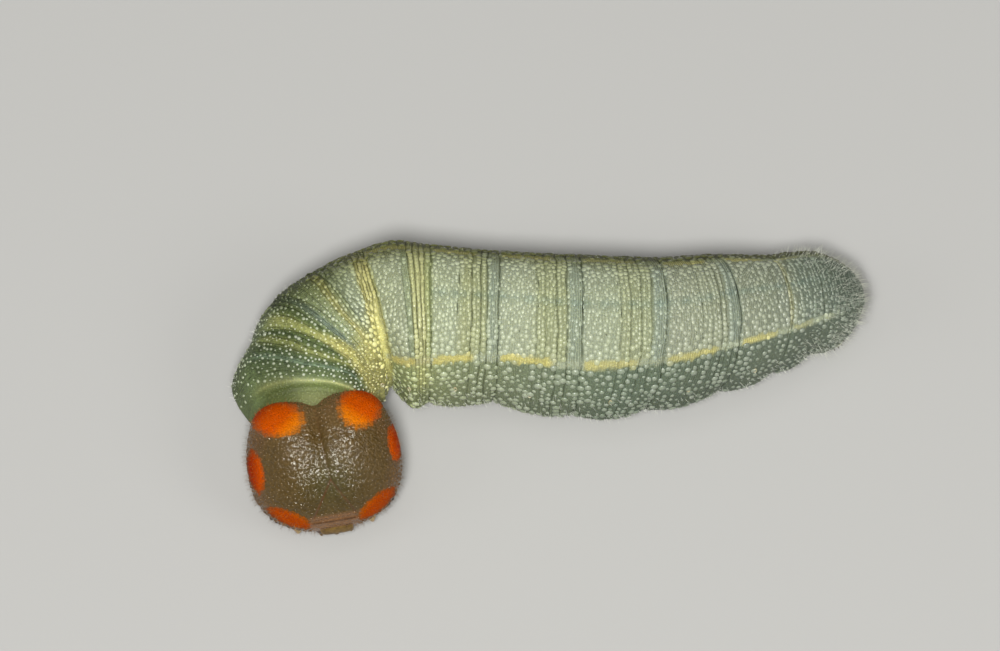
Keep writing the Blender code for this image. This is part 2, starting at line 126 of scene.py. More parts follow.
# Round the bend the ringlets drift along their rings: for each ring, degrees round the body and an exponent.
DRIFTS = {
    8: ((-60, -38, 5, 44, 60), (0.75, 0.75, 1.2, 3.0, 3.1)),
    9: ((-55, -30, -6, 4, 26, 50), (0.45, 0.55, 1.0, 1.3, 0.95, 0.9)),
    10: ((-90, -50, -26, -6, 4, 20, 50), (0.4, 0.6, 0.7, 1.0, 1.25, 1.4, 1.4)),
    11: ((-55, -20, 0, 16, 40), (0.6, 0.78, 1.0, 0.95, 0.65)),
}
FINEST_ROWS, SKIN_ROWS, SKIN_COLUMNS, TAIL_ROWS = 8000, 756, 128, 40
NECK_ROWS = (0.01, 0.02, 0.035, 0.05, 0.075, 0.1, 0.14, 0.2, 0.3, 0.4, 0.5, 0.62, 0.75, 0.88, 1.0)

# Ten flat-soled prolegs and six jointed legs, as in the solids. Profiles are rows of a radius and a height.
PROLEG_RINGS = (4, 5, 6, 7)
PROLEG_AT, PROLEG_OUT, PROLEG_LEAN = 0.5, 0.86, 0.12
ANAL_PROLEG_AT, ANAL_PROLEG_OUT = 0.62, 0.52
FLARE_DEPTH, FLARE_RADIUS, FLARE_IN = 0.16, 0.50, 0.08
LEG_OUT, LEG_LEAN = 0.84, 0.35
LEG_ROWS = (("front", COLLAR, 0.55), ("middle", 11.55, 0), ("hind", 10.5, 0))
PROLEG_PROFILE = (
    (0.24, 0.000), (0.315, 0.004), (0.355, 0.030), (0.375, 0.080), (0.365, 0.140), (0.325, 0.185), (0.300, 0.215),
    (0.330, 0.250), (0.372, 0.310), (0.372, 0.360), (0.345, 0.400), (0.385, 0.450), (0.430, 0.540), (0.480, 0.680),
    (0.520, 0.860),
)
LEG_PROFILE = (
    (0.045, 0.045), (0.080, 0.060), (0.105, 0.095), (0.112, 0.150), (0.092, 0.185), (0.120, 0.205), (0.165, 0.260),
    (0.178, 0.330), (0.150, 0.375), (0.185, 0.400), (0.240, 0.470), (0.262, 0.560), (0.225, 0.625), (0.262, 0.660),
    (0.310, 0.740), (0.330, 0.860), (0.300, 1.000),
)
# Claws and hooks: inward or outward step, height and half width. Spiracles: radius and rise. Lenses: share of rise.
CLAW_ROWS = ((0.01, 0.070, 0.042), (-0.002, 0.035, 0.034), (0.020, 0.012, 0.020), (0.055, 0.003, 0.007))
HOOK_ROWS = ((0.0, 0.085, 0.016), (0.045, 0.060, 0.014), (0.055, 0.030, 0.010), (0.030, 0.006, 0.004))
HOOKS, HOOK_CIRCLE = 20, 0.335
SPIRACLE_ROWS = ((0.070, -0.03), (0.078, 0.012), (0.068, 0.028), (0.052, 0.026), (0.042, 0.008), (0.034, -0.012))
SPIRACLE_AT, SPIRACLE_TURN = 0.56, 82
LENS_RISES, LENS_RADIUS, LENS_HEIGHT = (-0.4, 0.0, 0.3, 0.55, 0.78, 0.93), 0.058, 0.05
SIDES = (("left", 1), ("right", -1))
# Dark dashes in the grooves of the back: along, middle and length in degrees.
DASHES = (
    (6.565, -10.5, 11), (6.58, 10, 12), (5.52, -13, 10), (5.52, 4, 2), (4.595, -15.5, 5), (4.56, 6, 6),
    (5.74, 24, 2), (4.73, 21, 2), (3.55, 4, 2), (3.54, 31, 2), (4.01, -6, 16), (5.005, 2, 14), (3.01, 0, 12),
)

# The head: a thick lens tipped back so that its face looks up and forward, rolled a little.
HEAD_CENTRE = np.array((-5.74, -2.00, 1.80))
FACE_LIFT, HEAD_ROLL = math.radians(58), math.radians(9.3)
HEAD_HALF_WIDTH, HEAD_HALF_HEIGHT, HEAD_SQUARENESS = 1.96, 1.72, 2.35
FACE_DEPTH, BACK_DEPTH, HEAD_CUTS = 1.10, 0.95, 118
LOBE_RISE, LOBE_AT, LOBE_WIDTH = 0.21, math.radians(42), math.radians(18)
NOTCH_DEPTH, NOTCH_WIDTH = 0.16, math.radians(10)
# Spots in the head's own frame: x, y, half lengths, turn in degrees. The face's middle is 0, 0.
SPOTS = (
    (-1.00, 1.39, 0.68, 0.40, -8), (1.165, 1.38, 0.54, 0.50, 0), (-1.74, 0.125, 0.20, 0.54, 0),
    (1.86, 0.27, 0.16, 0.44, 0), (-1.07, -1.18, 0.60, 0.20, -31), (1.16, -1.17, 0.58, 0.21, 31),
)
# Sutures: start, end and how strongly they are coloured.
SUTURES = (
    ((0.0, 1.50), (0.125, -0.29), 0.25), ((0.125, -0.29), (-0.46, -1.25), 1.0), ((0.125, -0.29), (0.62, -1.25), 0.75),
)
# Small parts of the head, for its left side: x, y, z of each ring's middle and its half lengths along x and z.
LABRUM = (
    (0.04, -1.42, 0.30, 0.38, 0.10), (0.04, -1.52, 0.31, 0.43, 0.11), (0.05, -1.62, 0.30, 0.44, 0.10),
    (0.05, -1.71, 0.27, 0.43, 0.085), (0.05, -1.77, 0.245, 0.38, 0.065), (0.05, -1.80, 0.23, 0.32, 0.040),
)
LABIUM = (
    (0, -1.30, -0.62, 0.48, 0.20), (0, -1.50, -0.62, 0.50, 0.20), (0, -1.66, -0.60, 0.42, 0.18),
    (0, -1.76, -0.57, 0.26, 0.14), (0, -1.86, -0.54, 0.11, 0.09), (0, -1.94, -0.52, 0.05, 0.05),
)
PALP = (
    (0.42, -1.50, -0.48, 0.16, 0.13), (0.43, -1.64, -0.46, 0.14, 0.12), (0.42, -1.70, -0.45, 0.10, 0.09),
    (0.41, -1.78, -0.44, 0.09, 0.08), (0.39, -1.84, -0.43, 0.05, 0.05), (0.38, -1.90, -0.42, 0.03, 0.03),
)
JAW = (
    (0.36, -1.38, -0.10, 0.24, 0.22), (0.36, -1.55, -0.11, 0.25, 0.22), (0.34, -1.66, -0.11, 0.23, 0.20),
    (0.29, -1.76, -0.08, 0.18, 0.14), (0.24, -1.81, -0.05, 0.12, 0.08), (0.21, -1.83, -0.03, 0.06, 0.04),
)
FEELER = (
    (0.86, -1.20, -0.22, 0.19, 0.19), (0.885, -1.42, -0.30, 0.20, 0.20), (0.90, -1.48, -0.31, 0.14, 0.14),
    (0.92, -1.56, -0.34, 0.145, 0.145), (0.93, -1.64, -0.36, 0.13, 0.13), (0.935, -1.66, -0.37, 0.085, 0.085),
    (0.95, -1.71, -0.42, 0.07, 0.07), (0.955, -1.73, -0.43, 0.04, 0.04), (0.96, -1.75, -0.44, 0.03, 0.03),
)

# Colours as they look in soft light, red, green and blue from 0 to 255. The back's go by the ringlets; they hold
# painted light on the collar rim's crest at 11.95 and painted shade under it to 12.02, and toward the tail end they
# darken, partly in colour and partly as painted shade.
BACK_TINTS = tint_rows(
    (0.00, 88, 100, 84), (0.60, 102, 114, 97), (1.60, 136, 147, 126), (1.95, 144, 151, 126), (1.99, 168, 170, 132),
    (2.04, 168, 170, 132), (2.08, 146, 153, 131), (2.50, 149, 156, 131), (2.95, 153, 159, 134), (3.00, 146, 156, 134),
    (3.14, 149, 160, 140), (3.20, 154, 160, 132), (3.55, 160, 166, 138), (3.95, 162, 168, 142), (4.00, 154, 164, 140),
    (4.14, 156, 167, 145), (4.20, 162, 169, 132), (4.52, 167, 173, 134), (4.62, 171, 179, 147), (4.95, 172, 180, 150),
    (5.00, 160, 170, 142), (5.13, 161, 172, 147), (5.20, 166, 172, 130), (5.50, 170, 176, 134), (5.60, 176, 183, 150),
    (5.95, 177, 185, 154), (6.00, 162, 171, 142), (6.11, 162, 173, 148), (6.18, 168, 174, 130), (6.50, 172, 177, 132),
    (6.62, 178, 186, 152), (6.95, 176, 184, 148), (7.00, 160, 169, 116), (7.08, 174, 179, 122), (7.12, 186, 187, 130),
    (7.34, 184, 186, 130), (7.37, 168, 178, 138), (7.46, 162, 172, 135), (7.50, 166, 173, 140), (7.93, 168, 175, 137),
    (7.98, 170, 172, 110), (8.03, 184, 180, 114), (8.30, 192, 188, 122), (8.38, 180, 187, 142), (8.50, 180, 189, 154),
    (8.95, 172, 182, 148), (9.05, 172, 182, 137), (9.20, 177, 183, 131), (9.32, 203, 201, 135), (9.45, 197, 196, 128),
    (9.58, 182, 191, 142), (9.90, 172, 184, 142), (10.08, 156, 168, 126), (10.20, 150, 166, 142),
    (10.34, 150, 166, 142), (10.44, 134, 148, 104), (10.56, 104, 119, 74), (10.70, 116, 129, 76),
    (10.82, 164, 168, 100), (10.92, 160, 165, 98), (11.02, 110, 123, 70), (11.12, 86, 100, 60), (11.22, 94, 107, 62),
    (11.30, 150, 156, 94), (11.37, 138, 146, 88), (11.46, 86, 101, 60), (11.54, 92, 108, 70), (11.60, 122, 142, 114),
    (11.66, 92, 108, 70), (11.86, 112, 126, 82), (11.92, 140, 148, 98), (11.95, 176, 179, 120), (11.975, 120, 130, 78),
    (12.02, 96, 107, 58), (12.18, 134, 140, 88), (12.55, 120, 125, 74), (13.00, 104, 114, 80),
)
FLANK_TINTS = tint_rows(
    (0.0, 104, 115, 98), (2.5, 112, 123, 103), (3.5, 107, 119, 98), (4.5, 110, 124, 101), (5.5, 126, 137, 108),
    (6.5, 142, 151, 112), (7.5, 166, 176, 120), (9.0, 128, 138, 92), (11.0, 100, 114, 74), (13.0, 98, 110, 72),
)
BELLY_TINT = linear((132, 143, 110))
STRIPE_BRIGHT, STRIPE_PALE = linear((212, 203, 124)), linear((178, 186, 156))
GRANULE_WHITE = linear((236, 240, 222))
MID_LINE = linear((104, 132, 122))
WEDGE_TINT = linear((240, 234, 146))
# The first is the olive of the painted shade on the far shoulder, and the last is the painted shade on the neck's
# sides.
FAR_SHADE_TINT, OUTER_TINT, NECK_SHADE = linear((128, 126, 70)), linear((132, 152, 104)), linear((80, 89, 40))
# Hairs: radius, lean, seed and colour.
HAIRS = {
    "hair_short": (0.0026, 0.35, 5, linear((226, 228, 214))),
    "hair_flanks": (0.0036, 0.2, 6, linear((230, 232, 218))),
    "hair_tail": (0.0029, 0.30, 7, linear((222, 224, 206))),
    "head_hair": (0.0026, -0.25, 8, linear((160, 146, 122))),
}
GRANULE_SEED, HAIR_SEED, GRAIN_SEED, HEAD_HAIR_SEED = 23, 31, 41, 43
FLANK_HAIRS, TAIL_HAIRS, HEAD_HAIR_TRIES, GRAIN_TRIES, HAIR_MARGIN = 1800, 820, 3000, 90000, 0.027
# Where the stripe runs: along, degrees round the body on the left, and on the right. Its half width is in degrees.
STRIPE_AT = (
    (0.0, 42, 34), (1.0, 45, 35), (2.3, 43, 35), (3.5, 44, 38), (4.5, 44, 44), (5.5, 46, 45),
    (6.4, 49, 44), (7.5, 53, 42), (7.95, 61, 42), (8.5, 60, 44), (13.0, 48, 46),
)
STRIPE_HALF = 3.4
# Where the yellow of the bend starts and is full: along, and two angles in degrees on the left.
BEND_REACH = (
    (8.0, 0, 38), (9.0, 9, 44), (9.6, 12, 40), (10.3, 16, 50), (10.6, 2, 30), (10.75, -8, 24), (10.98, -10, 24),
    (11.1, 12, 60), (11.3, 34, 98), (11.6, 50, 115), (12.0, 60, 120),
)
FACE_TINT, FACE_GREEN, BROW_TINT = linear((85, 65, 29)), linear((71, 64, 29)), linear((108, 84, 50))
HEAD_BACK_TINT, CLYPEUS_TINT, SUTURE_TINT = linear((104, 72, 42)), linear((126, 86, 52)), linear((92, 58, 32))
ORANGE, ORANGE_RED, ORANGE_YELLOW = linear((191, 76, 0)), linear((140, 34, 0)), linear((212, 116, 4))
# A painted glint: pale orange for hairs over the spots, as if they catch the light.
PAINTED_GLINT_TINT = linear((250, 176, 60))
CREASE_OLIVE = (0.13, 0.14, 0.05, 1)
WARM_GLINT = (1.0, 0.96, 0.84, 1.0)

# The camera: distance in metres, elevation in degrees, width of its view and its sensor in millimetres.
AIM = Vector((-1.275, 1.737, 2.0)) * MM
CAMERA_FAR, CAMERA_HEIGHT, VIEW_WIDTH, SENSOR = 0.4, 66, 25.5, 36
WORLD_TINT, WORLD_LIGHT = (0.86, 0.86, 0.82, 1), 0.12
FLOOR_TINT = (0.46, 0.455, 0.435, 1)
# Lights: azimuth and elevation in degrees, distance and size in metres, power in watts.
LIGHTS = (
    ("flash", -6, 63, 0.25, 0.052, 0.67), ("side", 60, 42, 0.30, 0.16, 0.13),
    ("overhead", -40, 80, 0.30, 0.20, 0.08), ("fill", -70, 35, 0.30, 0.16, 0.06),
)


def smooth(value, low, high):
    """0 below low and 1 above high, with a soft step between."""
    f = np.clip((value - low) / (high - low), 0, 1)
    return f * f * (3 - 2 * f)


def fade(value, low, high):
    return 1 - smooth(value, low, high)


def window(value, start, full, last, gone):
    """Rises between its first two places and falls between its last two."""
    return smooth(value, start, full) * fade(value, last, gone)


def bump(value, middle, width):
    return np.exp(-(((value - middle) / width) ** 2))


def painted(colour, *layers):
    """A colour with others laid over it in turn, each by its share."""
    for tint, share in layers:
        colour = colour + (tint - colour) * np.asarray(share)[..., None]
    return colour


def unit(rows):
    return rows / np.linalg.norm(rows, axis=-1, keepdims=True)


def pick(kept, *arrays):
    return [rows[kept] for rows in arrays]


def between(table, along):
    """The columns of a table, read at an array of stations. Its first column is the stations."""
    at, *columns = np.array(table, float).T
    return [np.interp(along, at, column) for column in columns]


def wavy(value, phase, *lengths):
    """A small irregular wave, from -1 to 1, made of a few lengths."""
    waves = (np.sin(2 * math.pi * value / length + phase * (k + 1)) for k, length in enumerate(lengths))
    return sum(waves) / len(lengths)


def curve(values, at):
    """Smooth curves through the columns of station values, read at an array of stations."""
    slopes = np.gradient(values, KNOTS, axis=0)
    i = np.clip(np.searchsorted(KNOTS, at) - 1, 0, len(KNOTS) - 2)
    step = (KNOTS[i + 1] - KNOTS[i])[..., None]
    f = (at - KNOTS[i])[..., None] / step
    ends = values[i] * (1 + 2 * f) * (1 - f) ** 2 + values[i + 1] * (3 - 2 * f) * f**2
    return ends + step * (slopes[i] * f * (1 - f) ** 2 - slopes[i + 1] * f**2 * (1 - f))


def section(along):
    """Centre, outward and forward directions, half width, top, belly and lean of the body's cross-sections."""
    rows = curve(STATIONS[:, 1:], np.minimum(along, COLLAR))
    left, right = rows[..., :2], rows[..., 2:4]
    top, belly, lean = np.moveaxis(rows[..., 4:], -1, 0)
    half = np.linalg.norm(left - right, axis=-1) / 2
    outward = (left - right) / (2 * half[..., None])
    ahead = np.stack([outward[..., 1], -outward[..., 0]], -1)
    neck = np.clip(along - COLLAR, 0, 1)
    lip = LIP_DEPTH * (1 - np.exp(-neck / LIP_RUN))
    centre = (left + right) / 2 + ahead * (NECK_LENGTH * neck)[..., None]
    half = half * (1 - neck) + (NECK_HALF + LOBE_REACH) * neck - lip
    return centre, outward, ahead, half, top - lip - NECK_DROP * neck**2, belly + lip / 2, lean * (1 - neck)


def exponent(ring, around):
    """How strongly the ringlets of each place's ring drift along it."""
    found = np.ones(np.shape(around))
    for n, (turns_at, powers) in DRIFTS.items():
        found = np.where(ring == n, np.interp(np.degrees(around), turns_at, powers), found)
    return found


def homeward(along, around):
    ring = np.floor(along)
    return ring + (along - ring) ** exponent(ring, around)


def outbound(home, around):
    ring = np.floor(home)
    return ring + (home - ring) ** (1 / exponent(ring, around))


def wander(home, around):
    """Small irregular bends of the folds and grooves, none at the body's two ends."""
    slow = 0.5 * np.sin(3 * around + 7 * home) + 0.3 * np.sin(7 * around - 11 * home + 1)
    held = window(home, 0.1, 0.6, 11.6, 11.95)
    return 0.014 * held * (slow + 0.25 * np.sin(13 * around + 17 * home + 2))


def list_creases():
    """Stations, depths and widths of all folds and grooves, in order."""
    rows = []
    for n, grooves in enumerate(GROOVES):
        rows += [(n, FOLD_DEPTH, FOLD_WIDTH)] * (n > 0)
        rows += [(n + share, depth, GROOVE_WIDTH) for share, depth in grooves]
    return np.array(rows)


CREASES = list_creases()
BORDERS = curve(STATIONS[:, 1:5], np.arange(len(RINGS) + 1.0))
LEFT_RUN, RIGHT_RUN = (np.linalg.norm(np.diff(BORDERS[:, k : k + 2], axis=0), axis=1) for k in (0, 2))


def squeeze(along, around):
    """How much of its full length a ring has at this side of the body, up to 1."""
    ring = np.clip(along.astype(int), 0, len(RINGS) - 1)
    side = np.sin(around)
    return np.minimum(1, ((1 + side) * LEFT_RUN[ring] + (1 - side) * RIGHT_RUN[ring]) / 2 / RING_LENGTH)


def relief(along, around):
    """Depth of the folds and grooves."""
    home = homeward(along, around)
    home = home + wander(home, around)
    depth = np.zeros(np.shape(along))
    for at, deep, width in CREASES:
        depth += deep * bump(home, at, width)
    below = smooth(np.abs(np.degrees(around)), 50, 64) * (along < 9)
    bundle = bump(along, 7.2, 0.15)
    soft = (1 - 0.4 * bundle - 0.3 * bump(along, 8.17, 0.15)) * (1 - below * (0.3 + 0.45 * bundle))
    return RELIEF_SHARE * soft * depth * (0.12 + 0.88 * squeeze(along, around)) * (along < COLLAR)


def crease_marks(home, run):
    """Distance to the nearest crease, up to 0.12, and how deep that crease is, up to 1.3."""
    k = np.clip(np.searchsorted(CREASES[:, 0], home), 1, len(CREASES) - 1)
    below, above = np.abs(home - CREASES[k - 1, 0]), np.abs(CREASES[k, 0] - home)
    away = np.where(home < COLLAR - 0.06, np.minimum(below, above) * run, 0.12)
    return np.minimum(away, 0.12), np.minimum(CREASES[np.where(below < above, k - 1, k), 1] / 0.06, 1.3)


def list_feet():
    """Each proleg's name, foot place and inward direction."""
    rows = [(n, n + PROLEG_AT, PROLEG_OUT) for n in PROLEG_RINGS] + [(0, ANAL_PROLEG_AT, ANAL_PROLEG_OUT)]
    found = []
    for n, at, out in rows:
        centre, outward = pick(0, *section(np.array([at]))[:2])
        for side, sign in SIDES:
            found.append(("proleg_%d_%s" % (10 - n, side), centre + outward * out * sign, -outward * sign))
    return found


FEET = list_feet()


def body_points(along, around):
    """The skin's places."""
    centre, outward, ahead, half, top, belly, lean = section(along)
    across, up = np.sin(around), np.cos(around)
    side = np.sign(across) * np.abs(across) ** FLANK_FULLNESS
    widest = belly + WIDEST * (top - belly)
    rise = np.where(up >= 0, (top - widest) * up, -(widest - belly) * np.abs(up) ** BELLY_FULLNESS)
    inset = relief(along, around)
    in_rings = np.abs(np.sin(math.pi * np.minimum(along, COLLAR))) ** 0.6
    lobe = LOBE_REACH * in_rings * bump(np.abs(around), LOBE_ANGLE, LOBE_SPREAD)
    reach = side * (half - LOBE_REACH - inset) + np.sign(across) * lobe
    height = widest + rise * (1 - 2 * inset / (top - belly))
    closing = np.sqrt(np.maximum(0, 1 - (1 - np.minimum(along * RING_LENGTH / TAIL_ROUND, 1)) ** 2))
    height = TAIL_TIP + (height - TAIL_TIP) * closing
    flat = centre + outward * (reach * closing)[..., None]
    flat = flat - ahead * (lean * (height - (top + belly) / 2))[..., None]
    for _, foot, inward in FEET:
        away = np.linalg.norm(flat - (foot + inward * FLARE_IN), axis=-1)
        height = height - FLARE_DEPTH * bump(away, 0, FLARE_RADIUS) * (up < 0)
    return np.concatenate([flat, height[..., None]], -1)


def frames_of(first, second):
    """Unit frames as rows: the first direction, one square to it, and outwards, first cross second."""
    first = unit(first)
    normal = unit(np.cross(first, second))
    return np.stack([first, np.cross(normal, first), normal], -2)


def surface(along, around):
    """Places on the skin with their frames: towards the head, round the body, and outwards."""
    step = 0.02
    forward = body_points(along + step, around) - body_points(along - step, around)
    turning = body_points(along, around + step) - body_points(along, around - step)
    return body_points(along, around), frames_of(forward, turning)


def stripe_angle(along, around):
    left, right = between(STRIPE_AT, along)
    return np.where(around > 0, left, right)


def below_stripe(along, around):
    away, stripe = np.abs(np.degrees(around)), stripe_angle(along, around)
    return smooth(away, stripe - 2, stripe + 6)


def smooth_band(home, around):
    """1 inside the smooth bluish bands of the back."""
    found = np.zeros(np.shape(home))
    for start, end in SMOOTH_BANDS:
        found = np.maximum(found, window(home, start - 0.01, start + 0.01, end - 0.01, end + 0.01))
    turn = np.degrees(around)
    narrow = np.where(home > 10, window(turn, -34, -18, 14, 30), 1)
    return found * narrow * fade(np.abs(turn), 46, 60)


def stripe_band(along, around):
    """Where the stripe lies, and how bright it is there."""
    home = homeward(along, around)
    share = home - np.floor(home)
    edge = STRIPE_HALF * (1 + 0.16 * wavy(along, 1.0, 0.11, 0.063, 0.17))
    off = np.abs(np.abs(np.degrees(around)) - stripe_angle(along, around) - 0.8 * wavy(along, 2.2, 0.23, 0.09, 0.4))
    band = fade(off, edge - 0.8, edge + 0.8) * window(along, 0.5, 1.0, 7.9, 8.4)
    bright = window(share, 0.26, 0.40, 0.94, 0.985)
    bright = np.where((along > 7) & (along < 8), np.maximum(0.5, bright), bright) * (1 - 0.3 * bump(along, 4.3, 0.9))
    bright = bright * (0.25 + 0.75 * smooth(along, 1.2, 3.4)) * smooth(along, 0.7, 1.2)
    return band * np.where(around < 0, 0.85, 1), bright


def in_bend(along, around):
    """How far each place lies in the pale yellow skin inside the bend, from 0 to 1."""
    turn = np.degrees(around)
    low, high = between(BEND_REACH, along)
    return smooth(turn, low, high) * smooth(along, 7.93, 8.05) * fade(np.abs(turn), 85, 115)


def far_shoulder_shade(along, around):
    """1 along the far shoulder, where painted shade makes the skin darker and more olive than on the near one."""
    start = 25 - 9 * smooth(along, 6.8, 8.0)
    turn = -np.degrees(around)
    return window(turn, start, start + 26, 62, 84) * fade(along, 8.2, 9.2)


def outer_shade(along, around):
    """Painted shade on the far side and on the collar's far rim, as three shares of its colour: the blue fades most."""
    turn = -np.degrees(around)
    rear = window(along, 8.2, 8.9, 10.1, 10.9) * (1 - 0.7 * smooth(turn, 84, 112))
    front = smooth(along, 10.9, 11.3) * (along < COLLAR + 0.1)
    rim = bump(along, 11.94, 0.06) * smooth(turn, 6, 24)
    shade = (1 - 0.76 * rear * smooth(turn, -20, 55)) * (1 - 0.22 * front * smooth(turn, -4, 24)) * (1 - 0.28 * rim)
    shade = shade * (1 - 0.56 * far_shoulder_shade(along, around))
    return shade[..., None] ** np.array((1.0, 0.96, 1.35))


def skin_tint(along, around):
    """The body's colour: pale back, darker flanks, a broken yellow stripe, yellow folds and a yellow bend."""
    turn = np.degrees(around)
    away = np.abs(turn)
    home = homeward(along, around)
    home = np.clip(home + wander(home, around) * (along < 11.8), 0, 13)
    stripe = stripe_angle(along, around)
    outer = smooth(-turn, 40, 78) * window(along, 8.6, 10.0, 12.0, 12.1)
    folds = bump(home, 7.2, 0.17) * 0.30 + bump(home, 8.2, 0.2) * 0.45
    flank = painted(np.stack(between(FLANK_TINTS, along), -1), (WEDGE_TINT, folds * fade(away, 66, 92)))
    thorax, inside, far = smooth(along, 8.4, 9.4), in_bend(along, around), far_shoulder_shade(along, around)
    streaks = 0.5 + 0.5 * wavy(home, 1.3, 0.075, 0.12, 0.31)
    colour = painted(
        np.stack(between(BACK_TINTS, home), -1),
        (OUTER_TINT, 0.75 * outer),
        (flank, smooth(away, stripe - 1 - 8 * thorax, stripe + 4 + 34 * thorax)),
        (BELLY_TINT, smooth(away, 118, 142)),
        (WEDGE_TINT, inside * (0.72 + 0.20 * streaks)),
    )
    mid = bump(away, 0, 2.4) * window(along, 0.6, 1.6, 6.9, 7.1)
    # Painted shade on the neck's sides, which leaves its middle lighter.
    edge = smooth(along, 12.02, 12.1) * np.maximum(smooth(-turn, -6, 26), smooth(turn, 18, 46))
    band, bright = stripe_band(along, around)
    stripe_tint = painted(STRIPE_PALE, (STRIPE_BRIGHT, bright)) * (1 - 0.13 * bump(along, 4.1, 1.3))[..., None]
    colour = painted(
        colour * (1 - 0.16 * inside * (1 - streaks))[..., None],
        (MID_LINE, 0.42 * mid * (0.6 + 0.4 * wavy(along, 0.5, 0.31, 0.17))),
        (NECK_SHADE, 0.85 * edge),
        (stripe_tint, band * 0.96),
        # Painted shade: olive over the far shoulder, less on the stripe.
        (FAR_SHADE_TINT, 0.65 * far * (1 - 0.8 * band)),
    )
    lobe = bump(along, 11.85, 0.3) * window(-turn, 44, 64, 96, 120)
    # Painted light: lighter patches on the thorax's near side and top and in the bend, where these lie in shade.
    inner = smooth(along, 10.9, 11.3) * (along < COLLAR + 0.1) * smooth(turn, -14, 8) * (1 - 0.6 * smooth(turn, 26, 42))
    inner = inner + 0.8 * bump(along, 8.1, 0.12) * smooth(turn, 56, 74) + bump(along, 10.75, 0.32) * bump(turn, 2, 13)
    inner = inner + 0.7 * bump(along, 9.9, 0.35) * bump(turn, 12, 12)
    crown = (0.09 + 0.05 * bump(along, 7.3, 0.5)) * bump(turn, -3, 17) - 0.05 * bump(turn, 33, 12)
    # The far stripe is lifted out of part of the painted shade.
    lift = 1 + 0.36 * inner + crown * window(along, 2.0, 4.0, 7.8, 8.6) + 0.40 * band * far
    # Painted shade: the abdomen's lower flanks are darker.
    lift = lift * (1 + 0.45 * lobe - 0.17 * smooth(away, 72, 96) * fade(along, 8, 9))
    return colour * lift[..., None] * outer_shade(along, around)


def ground_tint(along, around):
    """The skin between the granules, darker than the mean colour where they stand close, with painted shade in the
    deeper creases.
    """
    home = homeward(along, around)
    low = below_stripe(along, around)
    bare = np.maximum(smooth_band(home, around), stripe_band(along, around)[0])
    shade = 0.90 + 0.02 * low + 0.04 * smooth(along, 8.4, 9.4) - 0.12 * smooth(along, 11.15, 11.35)
    shade = shade + 0.06 * low * fade(along, 2.2, 3.6)
    shade = np.where(along > COLLAR - 0.1, 1, shade + (1 - shade) * 0.85 * np.maximum(bare, in_bend(along, around)))
    # Painted shade in the deeper folds and grooves, less on the yellow bundles.
    deep = smooth(relief(along, around), 0.03, 0.10)
    yellow = np.maximum(bump(home, 7.2, 0.2), bump(home, 8.2, 0.2))
    return skin_tint(along, around) * (shade * (1 - 0.20 * deep * (1 - 0.5 * yellow)))[..., None]


def spread(places, gaps):
    """The numbers of the places that are kept, taken in order, so that none is nearer another than its gap."""
    cells = np.floor(places / float(gaps.max())).astype(int).tolist()
    near = [(i, j, k) for i in (-1, 0, 1) for j in (-1, 0, 1) for k in (-1, 0, 1)]
    taken, kept = {}, []
    for number, (cell, place, gap) in enumerate(zip(cells, places.tolist(), gaps.tolist())):
        x, y, z = place
        others = (
            other for i, j, k in near for other in taken.get((cell[0] + i, cell[1] + j, cell[2] + k), ())
        )
        if all((a - x) ** 2 + (b - y) ** 2 + (c - z) ** 2 >= gap * gap for a, b, c in others):
            taken.setdefault(tuple(cell), []).append(place)
            kept.append(number)
    return np.array(kept)


def peg(sides, low, high, painted_shades):
    """A small closed shape of two rings, each a radius and a height, and a tip at 1: places, faces and each corner's
    painted shade.
    """
    turn = 2 * math.pi * np.arange(sides) / sides
    ring = np.stack([np.cos(turn), np.sin(turn)], -1)
    rings = [np.column_stack([ring * radius, np.full(sides, height)]) for radius, height in (low, high)]
    i = np.arange(sides)
    j = (i + 1) % sides
    rows = [(i, j, j + sides), (i, j + sides, i + sides), (i + sides, j + sides, np.full(sides, 2 * sides))]
    faces = np.concatenate([np.stack(row, -1) for row in rows])
    return np.concatenate([*rings, [(0, 0, 1)]]), faces, np.repeat(painted_shades, (sides, sides, 1))


def dome(sides):
    """A low dome whose root is sunk a little and darkened by painted shade."""
    return peg(sides, (1, -0.35), (0.82, 0.68), (0.78, 1.0, 1.01))


BRISTLE = peg(3, (1, -0.08), (0.7, 0.5), (1.0, 1.0, 1.0))


def set_places(mesh, places):
    mesh.vertices.foreach_set("co", (places * MM).astype(np.float32).ravel())


def get_places(mesh):
    places = np.empty(len(mesh.vertices) * 3, np.float32)
    mesh.vertices.foreach_get("co", places)
    return places.reshape(-1, 3).astype(float)


def paint(mesh, colours):
    layer = mesh.color_attributes.new("tint", "FLOAT_COLOR", "POINT")
    layer.data.foreach_set("color", np.column_stack([colours, np.ones(len(colours))]).astype(np.float32).ravel())


def mesh_of(name, bm):
    mesh = bpy.data.meshes.new(name)
    bm.to_mesh(mesh)
    bm.free()
    return mesh


def placed(name, mesh):
    obj = bpy.data.objects.new(name, mesh)
    bpy.context.scene.collection.objects.link(obj)
    return obj


